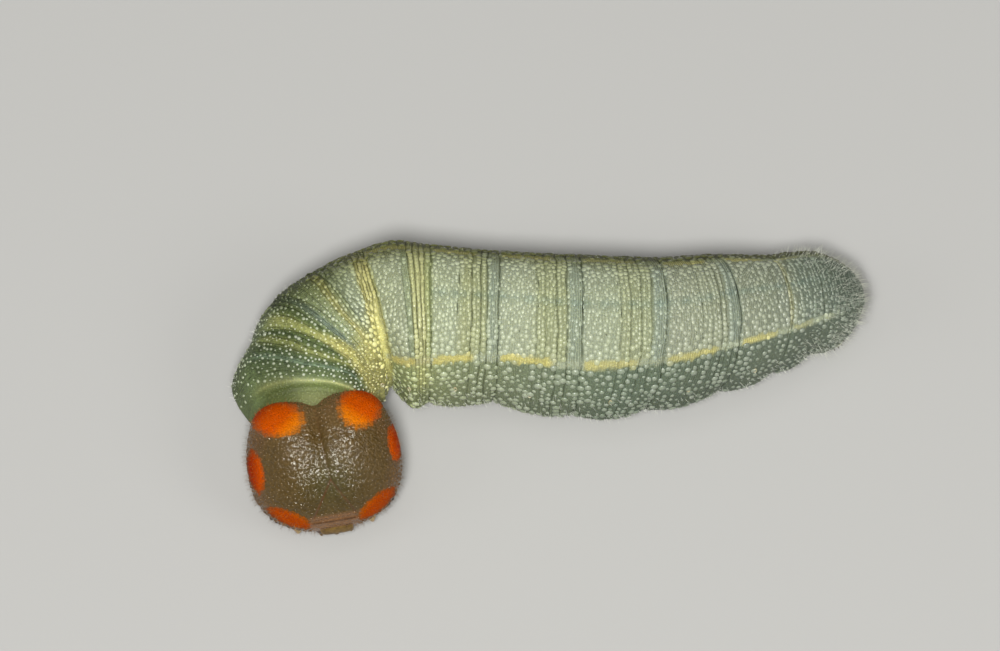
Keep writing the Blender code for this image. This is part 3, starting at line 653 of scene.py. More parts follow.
def joined(name, shape, places, frames, sizes, colours, charts, bend=None):
    """One object of small shapes, one on every place, sized and turned by its frame, with a patch of bake map."""
    base, faces, painted_shades = shape
    count, corners = len(places), len(base)
    local = base[None] * sizes[:, None, :]
    if bend is not None:
        local = local + bend[:, None, :] * (np.clip(base[:, 2], 0, 1) ** 2)[None, :, None]
    spots = (places[:, None, :] + np.einsum("nci,nij->ncj", local, frames)).reshape(-1, 3)
    every = (faces[None] + (np.arange(count) * corners)[:, None, None]).reshape(-1, 3)
    chart = np.repeat(charts, corners, axis=0) + np.tile(base[:, :2] * 0.0014, (count, 1))
    mesh = bpy.data.meshes.new(name)
    mesh.vertices.add(len(spots))
    set_places(mesh, spots)
    mesh.loops.add(every.size)
    mesh.loops.foreach_set("vertex_index", every.astype(np.int32).ravel())
    mesh.polygons.add(len(every))
    mesh.polygons.foreach_set("loop_start", np.arange(0, every.size, 3, dtype=np.int32))
    mesh.update(calc_edges=True)
    mesh.validate()
    mesh.shade_smooth()
    # Each shape's colour times its corners' painted shade.
    paint(mesh, (colours[:, None, :] * painted_shades[None, :, None]).reshape(-1, 3))
    layer = mesh.uv_layers.new(name="OFBake")
    layer.data.foreach_set("uv", chart[every.ravel()].astype(np.float32).ravel())
    return placed(name, mesh)


def body_chart(along, around):
    """The skin's own unwrap: along the body and round it."""
    return np.stack([0.01 + 0.98 * along / 13, 0.5 + around / (2 * math.pi) * 0.98], -1)


def dress(obj, finish, slot, *nodes):
    """Gives a piece its finish, its ride and the solids that it stands for. Its slot is not used."""
    obj.data.materials.clear()
    obj.data.materials.append(finish.material)
    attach(obj, "root")
    if nodes:
        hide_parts(*nodes)


class Wire:
    """A socket that takes part in sums and other maths."""

    def __init__(self, finish, socket):
        self.finish = finish
        self.socket = socket

    def maths(self, operation, first, second):
        return self.finish.node("ShaderNodeMath", {"operation": operation}, {0: first, 1: second})

    def __add__(self, other):
        return self.maths("ADD", self, other)

    def __sub__(self, other):
        return self.maths("SUBTRACT", self, other)

    def __rsub__(self, other):
        return self.maths("SUBTRACT", other, self)

    def __mul__(self, other):
        return self.maths("MULTIPLY", self, other)

    __radd__, __rmul__ = __add__, __mul__


class Finish:
    """A material on the Principled shader. Values that don't change over the surface sit on its sockets."""

    def __init__(self, name, fixed):
        self.material = bpy.data.materials.new(name)
        self.material.use_nodes = True
        self.tree = self.material.node_tree
        self.feed(fixed)

    def put(self, socket, value):
        if isinstance(value, Wire):
            self.tree.links.new(value.socket, socket)
        else:
            socket.default_value = value

    def feed(self, sockets):
        for socket, value in sockets.items():
            self.put(self.tree.nodes["Principled BSDF"].inputs[socket], value)

    def node(self, kind, settings, sockets, out=0):
        """Any node: its settings are set first, then its sockets' values or links."""
        new = self.tree.nodes.new(kind)
        for key, value in settings.items():
            setattr(new, key, value)
        for key, value in sockets.items():
            self.put(new.inputs[key], value)
        return Wire(self, new.outputs[out])

    def attribute(self, name, out="Fac"):
        return self.node("ShaderNodeAttribute", {"attribute_name": name}, {}, out)

    def texture(self, kind, settings, sockets, out):
        coordinates = self.node("ShaderNodeTexCoord", {}, {}, "Object")
        return self.node(kind, settings, {"Vector": coordinates, **sockets}, out)

    def noise(self, scale, detail, rough=0.5):
        return self.texture("ShaderNodeTexNoise", {}, {"Scale": scale, "Detail": detail, "Roughness": rough}, "Fac")

    def cells(self, scale, feature):
        return self.texture("ShaderNodeTexVoronoi", {"feature": feature}, {"Scale": scale}, "Distance")

    def ranged(self, value, low, high, to_low, to_high, kind="SMOOTHSTEP"):
        sockets = {"Value": value, "From Min": low, "From Max": high, "To Min": to_low, "To Max": to_high}
        return self.node("ShaderNodeMapRange", {"interpolation_type": kind}, sockets)

    def scaled(self, colour, factor):
        return self.node("ShaderNodeVectorMath", {"operation": "SCALE"}, {0: colour, "Scale": factor})

    def blended(self, first, second, factor):
        return self.node("ShaderNodeMix", {"data_type": "RGBA"}, {0: factor, 6: first, 7: second}, 2)

    def dressed(self, colour, rough, height, distance, strength=1.0):
        """Feeds the shader a colour, a roughness and a fine relief."""
        sockets = {"Height": height, "Distance": distance, "Strength": strength}
        normal = self.node("ShaderNodeBump", {}, sockets)
        self.feed({"Base Color": colour, "Roughness": rough, "Normal": normal})
        return self


def body_skin_finish():
    """Soft satin skin: tint from the markings, crisp lines in the creases, fine cross ridges, cells and a mottle."""
    fixed = {"Subsurface Weight": 0.30, "Subsurface Radius": (0.6, 0.5, 0.25), "Subsurface Scale": 0.0005}
    finish = Finish("larva_skin", {**fixed, "IOR": 1.42, "Specular IOR Level": 0.4})
    tint, along = finish.attribute("tint", "Color"), finish.attribute("home")
    mottle, fine, dots = finish.noise(2600, 4, 0.6), finish.noise(22000, 3, 0.6), finish.noise(9000, 2)
    pale = finish.ranged(finish.cells(15000, "F1"), 0.12, 0.60, 1.0, 0.0)
    ridge = finish.node("ShaderNodeMath", {"operation": "SINE"}, {0: along * 205.0 + mottle * 9.0 + fine * 2.0})
    ridge = finish.attribute("ridged") * ridge
    line = finish.ranged(finish.attribute("crease"), 0.004, 0.020, 1.0, 0.0) * finish.attribute("depth")
    broken = finish.ranged(dots, 0.42, 0.62, 0.10, 1.0)
    patchy = (finish.ranged(along, 8.7, 9.6, 0.0, 1.2) - finish.ranged(along, 11.7, 12.0, 0.0, 1.2)) * (dots - 0.5)
    shade = 0.78 + 0.26 * pale + 0.22 * (mottle - 0.5) + 0.16 * (fine - 0.5) + 0.06 * ridge + patchy
    olive = finish.blended(tint, CREASE_OLIVE, 0.28 * line * broken)
    height = 0.55 * pale + 0.30 * ridge + 0.35 * fine - 0.8 * line
    colour = finish.scaled(olive, shade * (1 - 0.12 * line))
    return finish.dressed(colour, 0.44 + 0.26 * fine - 0.08 * pale, height, 0.000018)


def head_shell_finish():
    """Hard wrinkled shell: mottled taupe or orange from the markings, wet-looking, so light breaks up into glints."""
    finish = Finish("head_shell", {"Specular IOR Level": 0.60, "IOR": 1.5, "Specular Tint": WARM_GLINT})
    mottle, wrinkle, fine = finish.noise(3800, 4, 0.65), finish.noise(10000, 3, 0.55), finish.noise(26000, 3, 0.6)
    grain = finish.ranged(finish.cells(13000, "SMOOTH_F1"), 0.1, 0.6, 1.0, 0.0)
    shade = 0.80 + 0.30 * grain + 0.40 * (mottle - 0.5) + 0.30 * (wrinkle - 0.5) + 0.16 * (fine - 0.5)
    colour = finish.scaled(finish.attribute("tint", "Color"), shade)
    height = 1.0 * wrinkle + 0.30 * grain + 0.18 * fine
    return finish.dressed(colour, 0.04 + 0.08 * mottle + 0.05 * fine, height, 0.000038)


def grain_finish(name, scale, mottle, rough, rougher, depth, fixed):
    """Small firm pieces in the markings' colours, a little uneven in shade, gloss and surface."""
    finish = Finish(name, fixed)
    fine = finish.noise(scale, 2)
    colour = finish.scaled(finish.attribute("tint", "Color"), 1 - mottle / 2 + mottle * fine)
    return finish.dressed(colour, rough + rougher * fine, fine, depth, 0.8)


def hair_finish():
    finish = Finish("larva_hair", {"Specular IOR Level": 0.3})
    tint = finish.attribute("tint", "Color")
    finish.feed({"Base Color": finish.scaled(tint, 0.9 + 0.2 * finish.noise(9000, 1)), "Roughness": 0.35})
    return finish


def plain_finish(name, dark, light, rough, scale, fixed):
    """A small hard or soft part: two shades mottled together, with a fine uneven surface."""
    finish = Finish(name, fixed)
    share = finish.ranged(finish.noise(scale, 4, 0.6), 0.30, 0.70, 0.0, 1.0, "LINEAR")
    fine = finish.noise(scale * 6, 2)
    colour = finish.blended((*linear(dark), 1), (*linear(light), 1), share)
    return finish.dressed(colour, rough + 0.15 * fine, fine, 0.000006, 0.6)


def skin_stations(count):
    """Rows of the skin over the rings, closer together near creases and with one on each crease."""
    start = TAIL_ROUND / RING_LENGTH
    fine = np.linspace(start, COLLAR, FINEST_ROWS)
    weight = np.ones(len(fine))
    for at, _, width in CREASES:
        weight += 2.6 * bump(fine, at, 1.9 * width)
    total = np.cumsum(weight)
    stations = np.interp(np.linspace(total[0], total[-1], count + 1), total, fine)
    for at in CREASES[:, 0]:
        if at > start + 0.02:
            stations[np.argmin(np.abs(stations - at))] = at
    return stations[1:]


def make_skin(finish):
    """One skin from the tail to inside the head, as a grid wrapped round the body along its ringlets."""
    rows, columns = SKIN_ROWS, SKIN_COLUMNS
    tail = TAIL_ROUND / RING_LENGTH * (1 - np.cos(np.linspace(0, math.pi / 2, TAIL_ROWS + 1)))
    rings = skin_stations(rows - TAIL_ROWS - len(NECK_ROWS))
    stations = np.concatenate([tail, rings, COLLAR + np.array(NECK_ROWS)])
    bm = bmesh.new()
    bm.loops.layers.uv.new("UVMap")
    bmesh.ops.create_grid(bm, x_segments=rows, y_segments=columns, size=1.0, calc_uvs=True)
    mesh = mesh_of("skin", bm)
    grid = get_places(mesh)
    row = np.rint((grid[:, 0] + 1) / 2 * rows).astype(int)
    column = np.rint((grid[:, 1] + 1) / 2 * columns).astype(int)
    home = stations[row]
    around = math.pi * (2 * column / columns - 1)
    along = outbound(home - wander(home, around), around)
    set_places(mesh, body_points(along, around))
    crease, depth = crease_marks(home, 1.0 + 0.6 * squeeze(along, around))
    ridged = (1 + smooth_band(home, around)) * fade(home, 11.8, 11.95)
    for name, values in (("home", home), ("crease", crease), ("depth", depth), ("ridged", ridged)):
        mesh.attributes.new(name, "FLOAT", "POINT").data.foreach_set("value", values.astype(np.float32))
    paint(mesh, ground_tint(along, around))
    bm = bmesh.new()
    bm.from_mesh(mesh)
    bm.verts.ensure_lookup_table()
    ends = (column == 0) | (column == columns) | (row == 0)
    bmesh.ops.remove_doubles(bm, verts=[bm.verts[int(i)] for i in np.nonzero(ends)[0]], dist=2e-7)
    rim = [edge for edge in bm.edges if edge.is_boundary]
    bmesh.ops.poke(bm, faces=bmesh.ops.contextual_create(bm, geom=rim)["faces"])
    bmesh.ops.recalc_face_normals(bm, faces=bm.faces[:])
    bm.to_mesh(mesh)
    bm.free()
    mesh.shade_smooth()
    dress(placed("skin", mesh), finish, "body_skin", *RINGS, "prothorax")


def granule_gap(along, around):
    """The room that a granule takes here: small on the mid-back, larger near the stripe and below."""
    away = np.abs(np.degrees(around))
    low = below_stripe(along, around)
    gap = 0.114 + 0.030 * smooth(away, 10, stripe_angle(along, around) - 4) + 0.014 * low
    thorax = smooth(along, 8.9, 9.8)
    outer = smooth(-np.degrees(around), 30, 60) * smooth(along, 9.6, 10.6)
    gap = gap * (1 - thorax) + thorax * (0.106 + 0.03 * outer)
    return gap - 0.018 * fade(along, 1.6, 2.4) * (1 - low) + 0.09 * smooth(away, 118, 140)


def broad_ringlets():
    """Stations and, at each, 1 where the ringlet is broad and 0 where it is narrow."""
    at, broad = [0.0], [1.0]
    for low, high in zip(CREASES[:-1, 0], CREASES[1:, 0]):
        at += [low + 0.001, high - 0.001]
        broad += [min(1.0, max(0.0, (high - low - 0.12) / 0.12))] * 2
    return at, broad


def granule_rows(draw):
    """Places of granules in rows round the body, set between the creases."""
    edges = [0.02, *CREASES[:, 0], 11.90]
    turn = np.radians(np.linspace(-150, 150, 1201))
    found = []
    for low, high in zip(edges, edges[1:]):
        side = np.zeros(9) - 0.5 * (low > 8)
        line = body_points(outbound(np.linspace(low, high, 9), side), side)
        room = np.linalg.norm(np.diff(line, axis=0), axis=1).sum() - 0.03
        rows = max(1, round(room / (0.104 if high < 8.3 else 0.096)))
        for k in range(rows):
            home = low + (high - low) * (0.015 + room * (k + 0.5) / rows) / (room + 0.03)
            home = home - wander(home, turn)
            along = outbound(home, turn)
            steps = np.linalg.norm(np.diff(body_points(along, turn), axis=0), axis=1)
            count = np.concatenate([[0], np.cumsum(steps / granule_gap(along, turn)[1:])])
            around = np.interp(np.arange(draw.random(), count[-1], 1.0), count, turn)
            found.append(np.stack([np.interp(around, turn, home), around], -1))
    home, around = np.concatenate(found).T
    broad = np.interp(home, *broad_ringlets())
    front = smooth(home, 8.6, 9.6)
    home = home + draw.normal(0, 1, len(home)) * (0.004 + 0.014 * broad + 0.012 * front)
    around = around + draw.normal(0, 1, len(home)) * (0.008 + 0.022 * front)
    return home, around


def scatter_granules(finish):
    """Raised granules in rows along the ringlets: fine and close on the back, larger and apart on the flanks."""
    draw = np.random.default_rng(GRANULE_SEED)
    home, around = granule_rows(draw)
    home = np.clip(home, 0.012, 11.93)
    along = outbound(home, around)
    low, gap, (band, _) = below_stripe(along, around), granule_gap(along, around), stripe_band(along, around)
    bare = smooth_band(home, around) * np.where(along < 9, 0.62, 1)
    keep = (relief(along, around) < 0.055) & (squeeze(along, around) > 0.10)
    thin = np.maximum(0.9 * smooth(band, 0.4, 0.9), 0.2 * in_bend(along, around))
    keep &= draw.random(len(home)) > np.maximum(0.93 * bare, thin)
    outer = smooth(-np.degrees(around), 34, 56) * smooth(along, 11.4, 11.7)
    keep &= draw.random(len(home)) > 0.55 * outer
    home, along, around, gap, low, band = pick(keep, home, along, around, gap, low, band)
    kept = spread(body_points(along, around), gap * (0.80 + 0.12 * low))
    home, along, around, gap, low, band = pick(kept, home, along, around, gap, low, band)
    places, frames = surface(along, around)
    turn = np.degrees(around)
    away = np.abs(turn)
    count = len(gap)
    thorax, front, inside = smooth(along, 8.9, 9.8), smooth(along, 11.15, 11.35), in_bend(along, around)
    big = np.maximum.reduce([bump(home, 11.17, 0.06), bump(home, 10.62, 0.10), bump(home, 9.96, 0.05)]) * thorax
    vary = draw.uniform(0.74, 1.16, count) * np.where(draw.random(count) < 0.32 * np.maximum(low, thorax), 0.6, 1)
    wide = gap * (0.585 - 0.05 * low - 0.285 * thorax + 0.17 * big + 0.085 * front) * vary * (1 - 0.25 * band)
    wide = wide * (1 - 0.10 * inside)
    ridges = bump(home, 7.2, 0.14) + bump(home, 8.17, 0.16)
    rear = fade(along, 2.2, 3.6)
    wide = wide * (1 - 0.28 * ridges * low - ridges * (0.12 + 0.16 * smooth(away, 24, 42)) - 0.24 * rear * low)
    ridges = ridges * fade(away, 34, 46) * (1 - thorax)
    long = wide * (0.90 - 0.30 * fade(away, 10, 34) * (1 - thorax) + low * draw.uniform(-0.1, 0.40, count))
    height = np.minimum(wide, long) * (0.28 + 0.10 * low + 0.40 * thorax) * (1 - 0.6 * band) * (1 - 0.3 * ridges)
    wide = wide * (1 + 0.5 * ridges)
    tail = fade(along, 1.5, 3.4)
    whiten = 0.02 + 0.08 * low * (1 - 0.4 * tail) + 0.33 * thorax + 0.04 * tail + draw.uniform(-0.04, 0.08, count)
    whiten = whiten + 0.05 * smooth(along, 8.3, 8.6) * (1 - thorax) + 0.09 * front
    # Granules whiten less on the far side: painted shade on the abdomen, a softer look on the thorax.
    whiten = whiten * (1 - 0.8 * smooth(-turn, 34, 58) * (1 - thorax) - 0.35 * smooth(-turn, 10, 40) * thorax)
    yellow = np.maximum.reduce([bump(home, 7.22, 0.13), bump(home, 8.17, 0.16), 0.8 * inside]) * (away < 90)
    whiten = np.clip(whiten * (1 - 0.75 * np.maximum(band, yellow)), 0.03, 0.95)
    lift = 0.97 + 0.02 * band + 0.06 * low + draw.uniform(-0.08, 0.08, count)
    # The granules' white takes the far side's painted shade too.
    white = GRANULE_WHITE * outer_shade(along, around)
    colour = painted(np.minimum(skin_tint(along, around) * lift[:, None], 0.95), (white, whiten))
    sizes, chart = np.stack([long, wide, height], -1), body_chart(along, around)
    split = np.digitize(turn, (-52, 4, 52))
    for number, name in enumerate(("right_flank", "right_back", "left_back", "left_flank")):
        rows = pick(split == number, places, frames, sizes, colour, chart)
        dress(joined("granules_" + name, dome(8), *rows), finish, "body_skin")
    return along, around, height


def scatter_hair(name, finish, slot, places, frames, charts, lengths, *layers):
    """Fine hairs that lean back and a little at random, kept inside the room that the piece has."""
    radius, lean, seed, tint = HAIRS[name]
    draw = np.random.default_rng(seed)
    tilt = draw.normal(0, 0.28, (len(places), 2))
    tilt[:, 0] -= lean
    normal = unit(frames[:, 2] + frames[:, 0] * tilt[:, :1] + frames[:, 1] * tilt[:, 1:])
    low, high = (np.array(corner) / MM for corner in CAD_BOX)
    margin = (high - low) * HAIR_MARGIN
    low, high = low - margin, high + margin
    low[2] = 0.02
    for _ in range(6):
        tips = places + normal * lengths[:, None] * 1.1
        lengths = np.where(((tips < low) | (tips > high)).any(axis=1), lengths * 0.7, lengths)
    side = unit(np.cross(normal, frames[:, 0]))
    hair_frames = np.stack([np.cross(side, normal), side, normal], 1)
    width = np.full(len(lengths), radius)
    bend = np.stack([-0.22 * lengths, draw.normal(0, 0.06, len(lengths)) * lengths, 0 * lengths], -1)
    sizes, colours = np.stack([width, width, lengths], -1), painted(np.tile(tint, (len(places), 1)), *layers)
    dress(joined(name, BRISTLE, places, hair_frames, sizes, colours, charts, bend), finish, slot)


def body_hair(name, finish, at, turn, lengths, lift=0):
    places, frames = surface(at, turn)
    places = places + frames[:, 2] * lift
    scatter_hair(name, finish, "body_skin", places, frames, body_chart(at, turn), lengths)


def make_body_hair(finish, along, around, size):
    """A minute hair on many granules, longer ones on the flank lobes and a soft fringe round the tail."""
    draw = np.random.default_rng(HAIR_SEED)
    chosen = (draw.random(len(along)) < 0.12 + 0.16 * smooth(along, 0.8, 2.5)) & (squeeze(along, around) > 0.4)
    at, turn, size = pick(chosen, along, around, size)
    lengths = draw.uniform(0.035, 0.075, len(at)) * (1 + 0.4 * fade(at, 0.5, 2.5))
    body_hair("hair_short", finish, at, turn, lengths, size[:, None] * 0.6)
    at = draw.uniform(0.3, 11.7, FLANK_HAIRS)
    turn = np.radians(draw.normal(104, 12, FLANK_HAIRS)) * draw.choice([-1, 1], FLANK_HAIRS)
    lengths = draw.uniform(0.07, 0.19, FLANK_HAIRS) * smooth(squeeze(at, turn), 0.3, 0.6) + 0.01
    body_hair("hair_flanks", finish, at, turn, lengths)
    at = np.abs(draw.normal(0, 0.75, TAIL_HAIRS)) + 0.01
    turn = np.radians(draw.uniform(-125, 125, TAIL_HAIRS))
    lengths = draw.uniform(0.14, 0.40, TAIL_HAIRS) * (1 - 0.45 * smooth(at, 0.6, 2.0))
    body_hair("hair_tail", finish, at, turn, lengths)


def head_axes():
    """Rows: across the head to its left, up to its crown, and out of its face."""
    across = Vector((1, 0, 0))
    crown = Vector((0, math.sin(FACE_LIFT), math.cos(FACE_LIFT)))
    face = across.cross(crown)
    roll = Matrix.Rotation(HEAD_ROLL, 3, face)
    return np.array([roll @ across, roll @ crown, face])


HEAD_AXES = head_axes()


def on_head(local):
    return HEAD_CENTRE + np.asarray(local, float) @ HEAD_AXES


def head_outline(turn):
    """The rim's distance from the head's centre."""
    turn = np.abs((turn + math.pi) % (2 * math.pi) - math.pi)
    wide, high = np.sin(turn) / HEAD_HALF_WIDTH, np.cos(turn) / HEAD_HALF_HEIGHT
    rim = (np.abs(wide) ** HEAD_SQUARENESS + np.abs(high) ** HEAD_SQUARENESS) ** (-1 / HEAD_SQUARENESS)
    return rim + LOBE_RISE * bump(turn, LOBE_AT, LOBE_WIDTH) - NOTCH_DEPTH * bump(turn, 0, NOTCH_WIDTH)


def rim_share(x, y):
    """How far out from the face's middle, 1 at the rim."""
    return np.hypot(x / HEAD_HALF_WIDTH, y / HEAD_HALF_HEIGHT)


def from_line(x, y, start, end):
    """Distance in the face's plane from a line between two points."""
    start, run = np.array(start), np.array(end) - np.array(start)
    held = np.clip(((x - start[0]) * run[0] + (y - start[1]) * run[1]) / (run @ run), 0, 1)
    return np.hypot(x - start[0] - run[0] * held, y - start[1] - run[1] * held)


def head_angles(rays):
    """Turn from the crown round the face, and tilt from its middle to the back."""
    return np.arctan2(rays[:, 0], rays[:, 1]), np.arccos(np.clip(rays[:, 2], -1, 1))


def head_rays(turn, tilt):
    return np.stack([np.sin(tilt) * np.sin(turn), np.sin(tilt) * np.cos(turn), np.cos(tilt)], -1)


def head_local(rays):
    """The head's surface, in its own frame, in the direction of each unit vector."""
    turn, tilt = head_angles(rays)
    out = head_outline(turn) * np.sin(tilt) ** 0.92
    depth = np.cos(tilt) * np.where(tilt < math.pi / 2, FACE_DEPTH, BACK_DEPTH)
    x, y = out * np.sin(turn), out * np.cos(turn)
    front = smooth(depth, 0.05, 0.7)
    swell = 0.09 * bump(np.abs(x), 0.85, 0.55) * bump(y, 0.35, 0.9)
    groove = 0.10 * bump(x, 0.0, 0.17) * smooth(y, -0.4, 1.1)
    frons = 0.05 * bump(x, 0.06, 0.42) * bump(y, -1.0, 0.42)
    depth = depth + front * (swell - groove - frons)
    for start, end, _ in SUTURES:
        depth = depth - 0.022 * bump(from_line(x, y, start, end), 0, 0.024) * front
    ledge = bump(y, -1.36, 0.05) * (np.abs(x) < 0.62)
    return np.stack([x, y, depth - 0.035 * ledge * front], -1)


def spot_shares(x, y, z):
    """How far each place lies inside an orange spot, from 0 to 1, and how near the face's middle in it."""
    inside, inner = np.zeros(len(x)), np.zeros(len(x))
    ragged = 0.07 * wavy(x, 0.7, 0.21, 0.13) + 0.07 * wavy(y, 1.9, 0.19, 0.11)
    for middle_x, middle_y, long, wide, turn in SPOTS:
        a = math.radians(turn)
        dx, dy = x - middle_x, y - middle_y
        across, up = dx * math.cos(a) + dy * math.sin(a), -dx * math.sin(a) + dy * math.cos(a)
        here = fade(np.hypot(across / long, up / wide) + ragged, 0.66, 1.20) * smooth(z, -0.75, -0.30)
        inside = np.maximum(inside, here)
        toward = -(dx * middle_x + dy * middle_y) / math.hypot(middle_x, middle_y) / max(long, wide)
        inner = np.where(here > 0, toward - 0.5 * (abs(middle_y) < 1), inner)
    return inside, inner


def head_tint(local):
    """The head's colour: taupe face, orange spots round the rim, brown sutures and clypeus."""
    x, y, z = local.T
    colour = painted(
        np.tile(FACE_TINT, (len(x), 1)),
        (FACE_GREEN, 0.9 * bump(x, 0.1, 0.75) * bump(y, -0.35, 0.75)),
        (BROW_TINT, smooth(y, 0.7, 1.5)),
        # Painted shade: two darker patches low on the face, either side, above the clypeus.
        (0, 0.16 * bump(y, -0.95, 0.38) * bump(np.abs(x), 0.65, 0.55)),
        (HEAD_BACK_TINT, smooth(rim_share(x, y), 0.76, 1.0) * 0.6 + 0.4 * smooth(-z, 0.0, 0.5)),
    )
    inside, inner = spot_shares(x, y, z)
    spot = painted(ORANGE, (ORANGE_YELLOW, smooth(inner, 0.05, 0.75)), (ORANGE_RED, smooth(-inner, 0.08, 0.88)))
    spot = spot * (0.94 - 0.32 * smooth(-y, 0.5, 0.9))[:, None]
    low_front, off = smooth(z, -0.4, 0.0), np.abs(x - 0.03)
    lines = [bump(from_line(x, y, *ends), 0, 0.02) * smooth(z, 0.0, 0.4) * strength for *ends, strength in SUTURES]
    return painted(
        colour,
        (spot, inside**0.8),
        (CLYPEUS_TINT, 0.8 * fade(off, 0.50, 0.72) * smooth(-y, 1.16, 1.30) * low_front),
        (SUTURE_TINT * 0.5, 0.8 * bump(y, -1.42, 0.025) * fade(off, 0.50, 0.62) * low_front),
        *[(SUTURE_TINT, line) for line in lines],
    )


def head_chart(rays):
    """The head's own unwrap: round the face, and from its middle to the back."""
    turn, tilt = head_angles(rays)
    return np.stack([0.5 + turn / (2 * math.pi) * 0.98, 0.01 + 0.98 * tilt / math.pi], -1)


def head_surface(rays):
    """Places on the head in the model with their frames, and in the head's own frame."""
    step = 0.012
    turn, tilt = head_angles(rays)
    tilt = np.clip(tilt, 0.03, math.pi - 0.03)

    def at(turn, tilt):
        return head_local(head_rays(turn, tilt))

    local = at(turn, tilt)
    down = (at(turn, tilt + step) - at(turn, tilt - step)) @ HEAD_AXES
    round_rim = (at(turn + step, tilt) - at(turn - step, tilt)) @ HEAD_AXES
    return on_head(local), frames_of(down, -round_rim), local


def random_rays(draw, count, lowest):
    """Random directions over the head, leaving out the part that the neck hides."""
    rays = unit(draw.normal(size=(count, 3)))
    return rays[rays[:, 2] > lowest]


def make_head(finish):
    bm = bmesh.new()
    bmesh.ops.create_cube(bm, size=2.0)
    bmesh.ops.subdivide_edges(bm, edges=bm.edges[:], cuts=HEAD_CUTS, use_grid_fill=True)
    mesh = mesh_of("head", bm)
    local = head_local(unit(np.tan(get_places(mesh) * math.pi / 4)))
    set_places(mesh, on_head(local))
    paint(mesh, head_tint(local))
    mesh.shade_smooth()
    dress(placed("head", mesh), finish, "head_shell", "head_capsule")


def make_head_grains(face_finish, spot_finish):
    """Low grains all over the head: apart on the face, close together on the orange spots."""
    draw = np.random.default_rng(GRAIN_SEED)
    rays = random_rays(draw, GRAIN_TRIES, -0.55)
    places, frames, local = head_surface(rays)
    gap = 0.100 - 0.058 * smooth(spot_shares(*local.T)[0], 0.05, 0.35)
    kept = spread(places, gap)
    x, y, _ = local[kept].T
    clear = ~((np.abs(x) < 0.62) & (y < -1.33))
    for start, end, _ in SUTURES:
        clear &= from_line(x, y, start, end) > 0.035
    places, frames, local, rays, gap = pick(kept[clear], places, frames, local, rays, gap)
    count = len(rays)
    spot = spot_shares(*local.T)[0] > 0.25
    size = gap * np.where(spot, draw.uniform(0.74, 1.0, count), draw.uniform(0.22, 0.40, count))
    sizes = np.stack([size * draw.uniform(1.0, 1.4, count), size, size * np.where(spot, 0.36, 0.42)], -1)
    spin = draw.uniform(0, math.pi, count)[:, None]
    first = frames[:, 0] * np.cos(spin) + frames[:, 1] * np.sin(spin)
    second = -frames[:, 0] * np.sin(spin) + frames[:, 1] * np.cos(spin)
    tilt = draw.normal(0, 0.24, (count, 2)) * np.where(spot, 0.3, 1)[:, None]
    out = frames[:, 2] + first * tilt[:, :1] + second * tilt[:, 1:]
    turned = frames_of(first, np.cross(out, first))
    colour = head_tint(local) * (1 + draw.uniform(-0.10, 0.22, count) * np.where(spot, 0.5, 1))[:, None]
    for name, here, finish in (("head_grains", ~spot, face_finish), ("spot_grains", spot, spot_finish)):
        rows = pick(here, places, turned, sizes, colour, head_chart(rays))
        dress(joined(name, dome(6), *rows), finish, "head_shell")


def make_head_hair(finish):
    draw = np.random.default_rng(HEAD_HAIR_SEED)
    rays = random_rays(draw, HEAD_HAIR_TRIES, -0.6)
    places, frames, local = head_surface(rays)
    rim, spot = smooth(rim_share(*local.T[:2]), 0.7, 1.0), spot_shares(*local.T)[0]
    chosen = draw.random(len(rays)) < (0.12 + 0.88 * rim) * (1 + 0.8 * spot)
    rays, places, frames, local, rim, spot = pick(chosen, rays, places, frames, local, rim, spot)
    lengths = draw.uniform(0.06, 0.12, len(rays)) * (1 + 0.7 * rim) * (1 - 0.4 * spot)
    # Hairs over the orange spots are paled toward a painted glint.
    layers = (head_tint(local), 0.80), (PAINTED_GLINT_TINT, 0.4 * spot)
    scatter_hair("head_hair", finish, "head_shell", places, frames, head_chart(rays), lengths, *layers)


def follower(old, grown):
    """The new point that an extrusion sets on an old one."""
    near = (edge.other_vert(old) for edge in old.link_edges)
    return next(vert for vert in near if vert in grown and (vert.co - old.co).length < 1e-12)


def loft(rings):
    """A closed skin through rings of points, its two ends capped."""
    bm = bmesh.new()
    verts = bmesh.ops.create_circle(bm, segments=len(rings[0]), radius=MM)["verts"]
    for vert, place in zip(verts, rings[0]):
        vert.co = Vector(place) * MM
    first = edges = bm.edges[:]
    for ring in rings[1:]:
        new = bmesh.ops.extrude_edge_only(bm, edges=edges)["geom"]
        grown = {item for item in new if isinstance(item, bmesh.types.BMVert)}
        edges = [item for item in new if isinstance(item, bmesh.types.BMEdge) and grown.issuperset(item.verts)]
        verts = [follower(old, grown) for old in verts]
        for vert, place in zip(verts, ring):
            vert.co = Vector(place) * MM
    for border in (first, edges):
        bmesh.ops.poke(bm, faces=bmesh.ops.contextual_create(bm, geom=border)["faces"])
    bmesh.ops.recalc_face_normals(bm, faces=bm.faces[:])
    return bm


def to_piece(name, parts, subdivide=1):
    """Joins lofts into one piece with smooth shading."""
    bm = parts[0]
    for other in parts[1:]:
        extra = mesh_of("extra", other)
        bm.from_mesh(extra)
        bpy.data.meshes.remove(extra)
    mesh = mesh_of(name, bm)
    mesh.shade_smooth()
    obj = placed(name, mesh)
    if subdivide:
        modifier = obj.modifiers.new("Rounding", "SUBSURF")
        modifier.levels = modifier.render_levels = subdivide
    return obj


def turns(sides):
    return [2 * math.pi * i / sides for i in range(sides)]


def ring_at(centre, wide, deep, first, second, sides):
    """An oval ring round a centre, with its half lengths along two directions."""
    return [centre + first * wide * math.cos(a) + second * deep * math.sin(a) for a in turns(sides)]


def tube(rows, first, second, sides):
    """A closed skin through oval rings, each a centre and its half lengths along two directions."""
    return loft([ring_at(centre, wide, deep, first, second, sides) for centre, wide, deep in rows])


def raised(flat, height=0):
    return np.array((*flat, height), float)


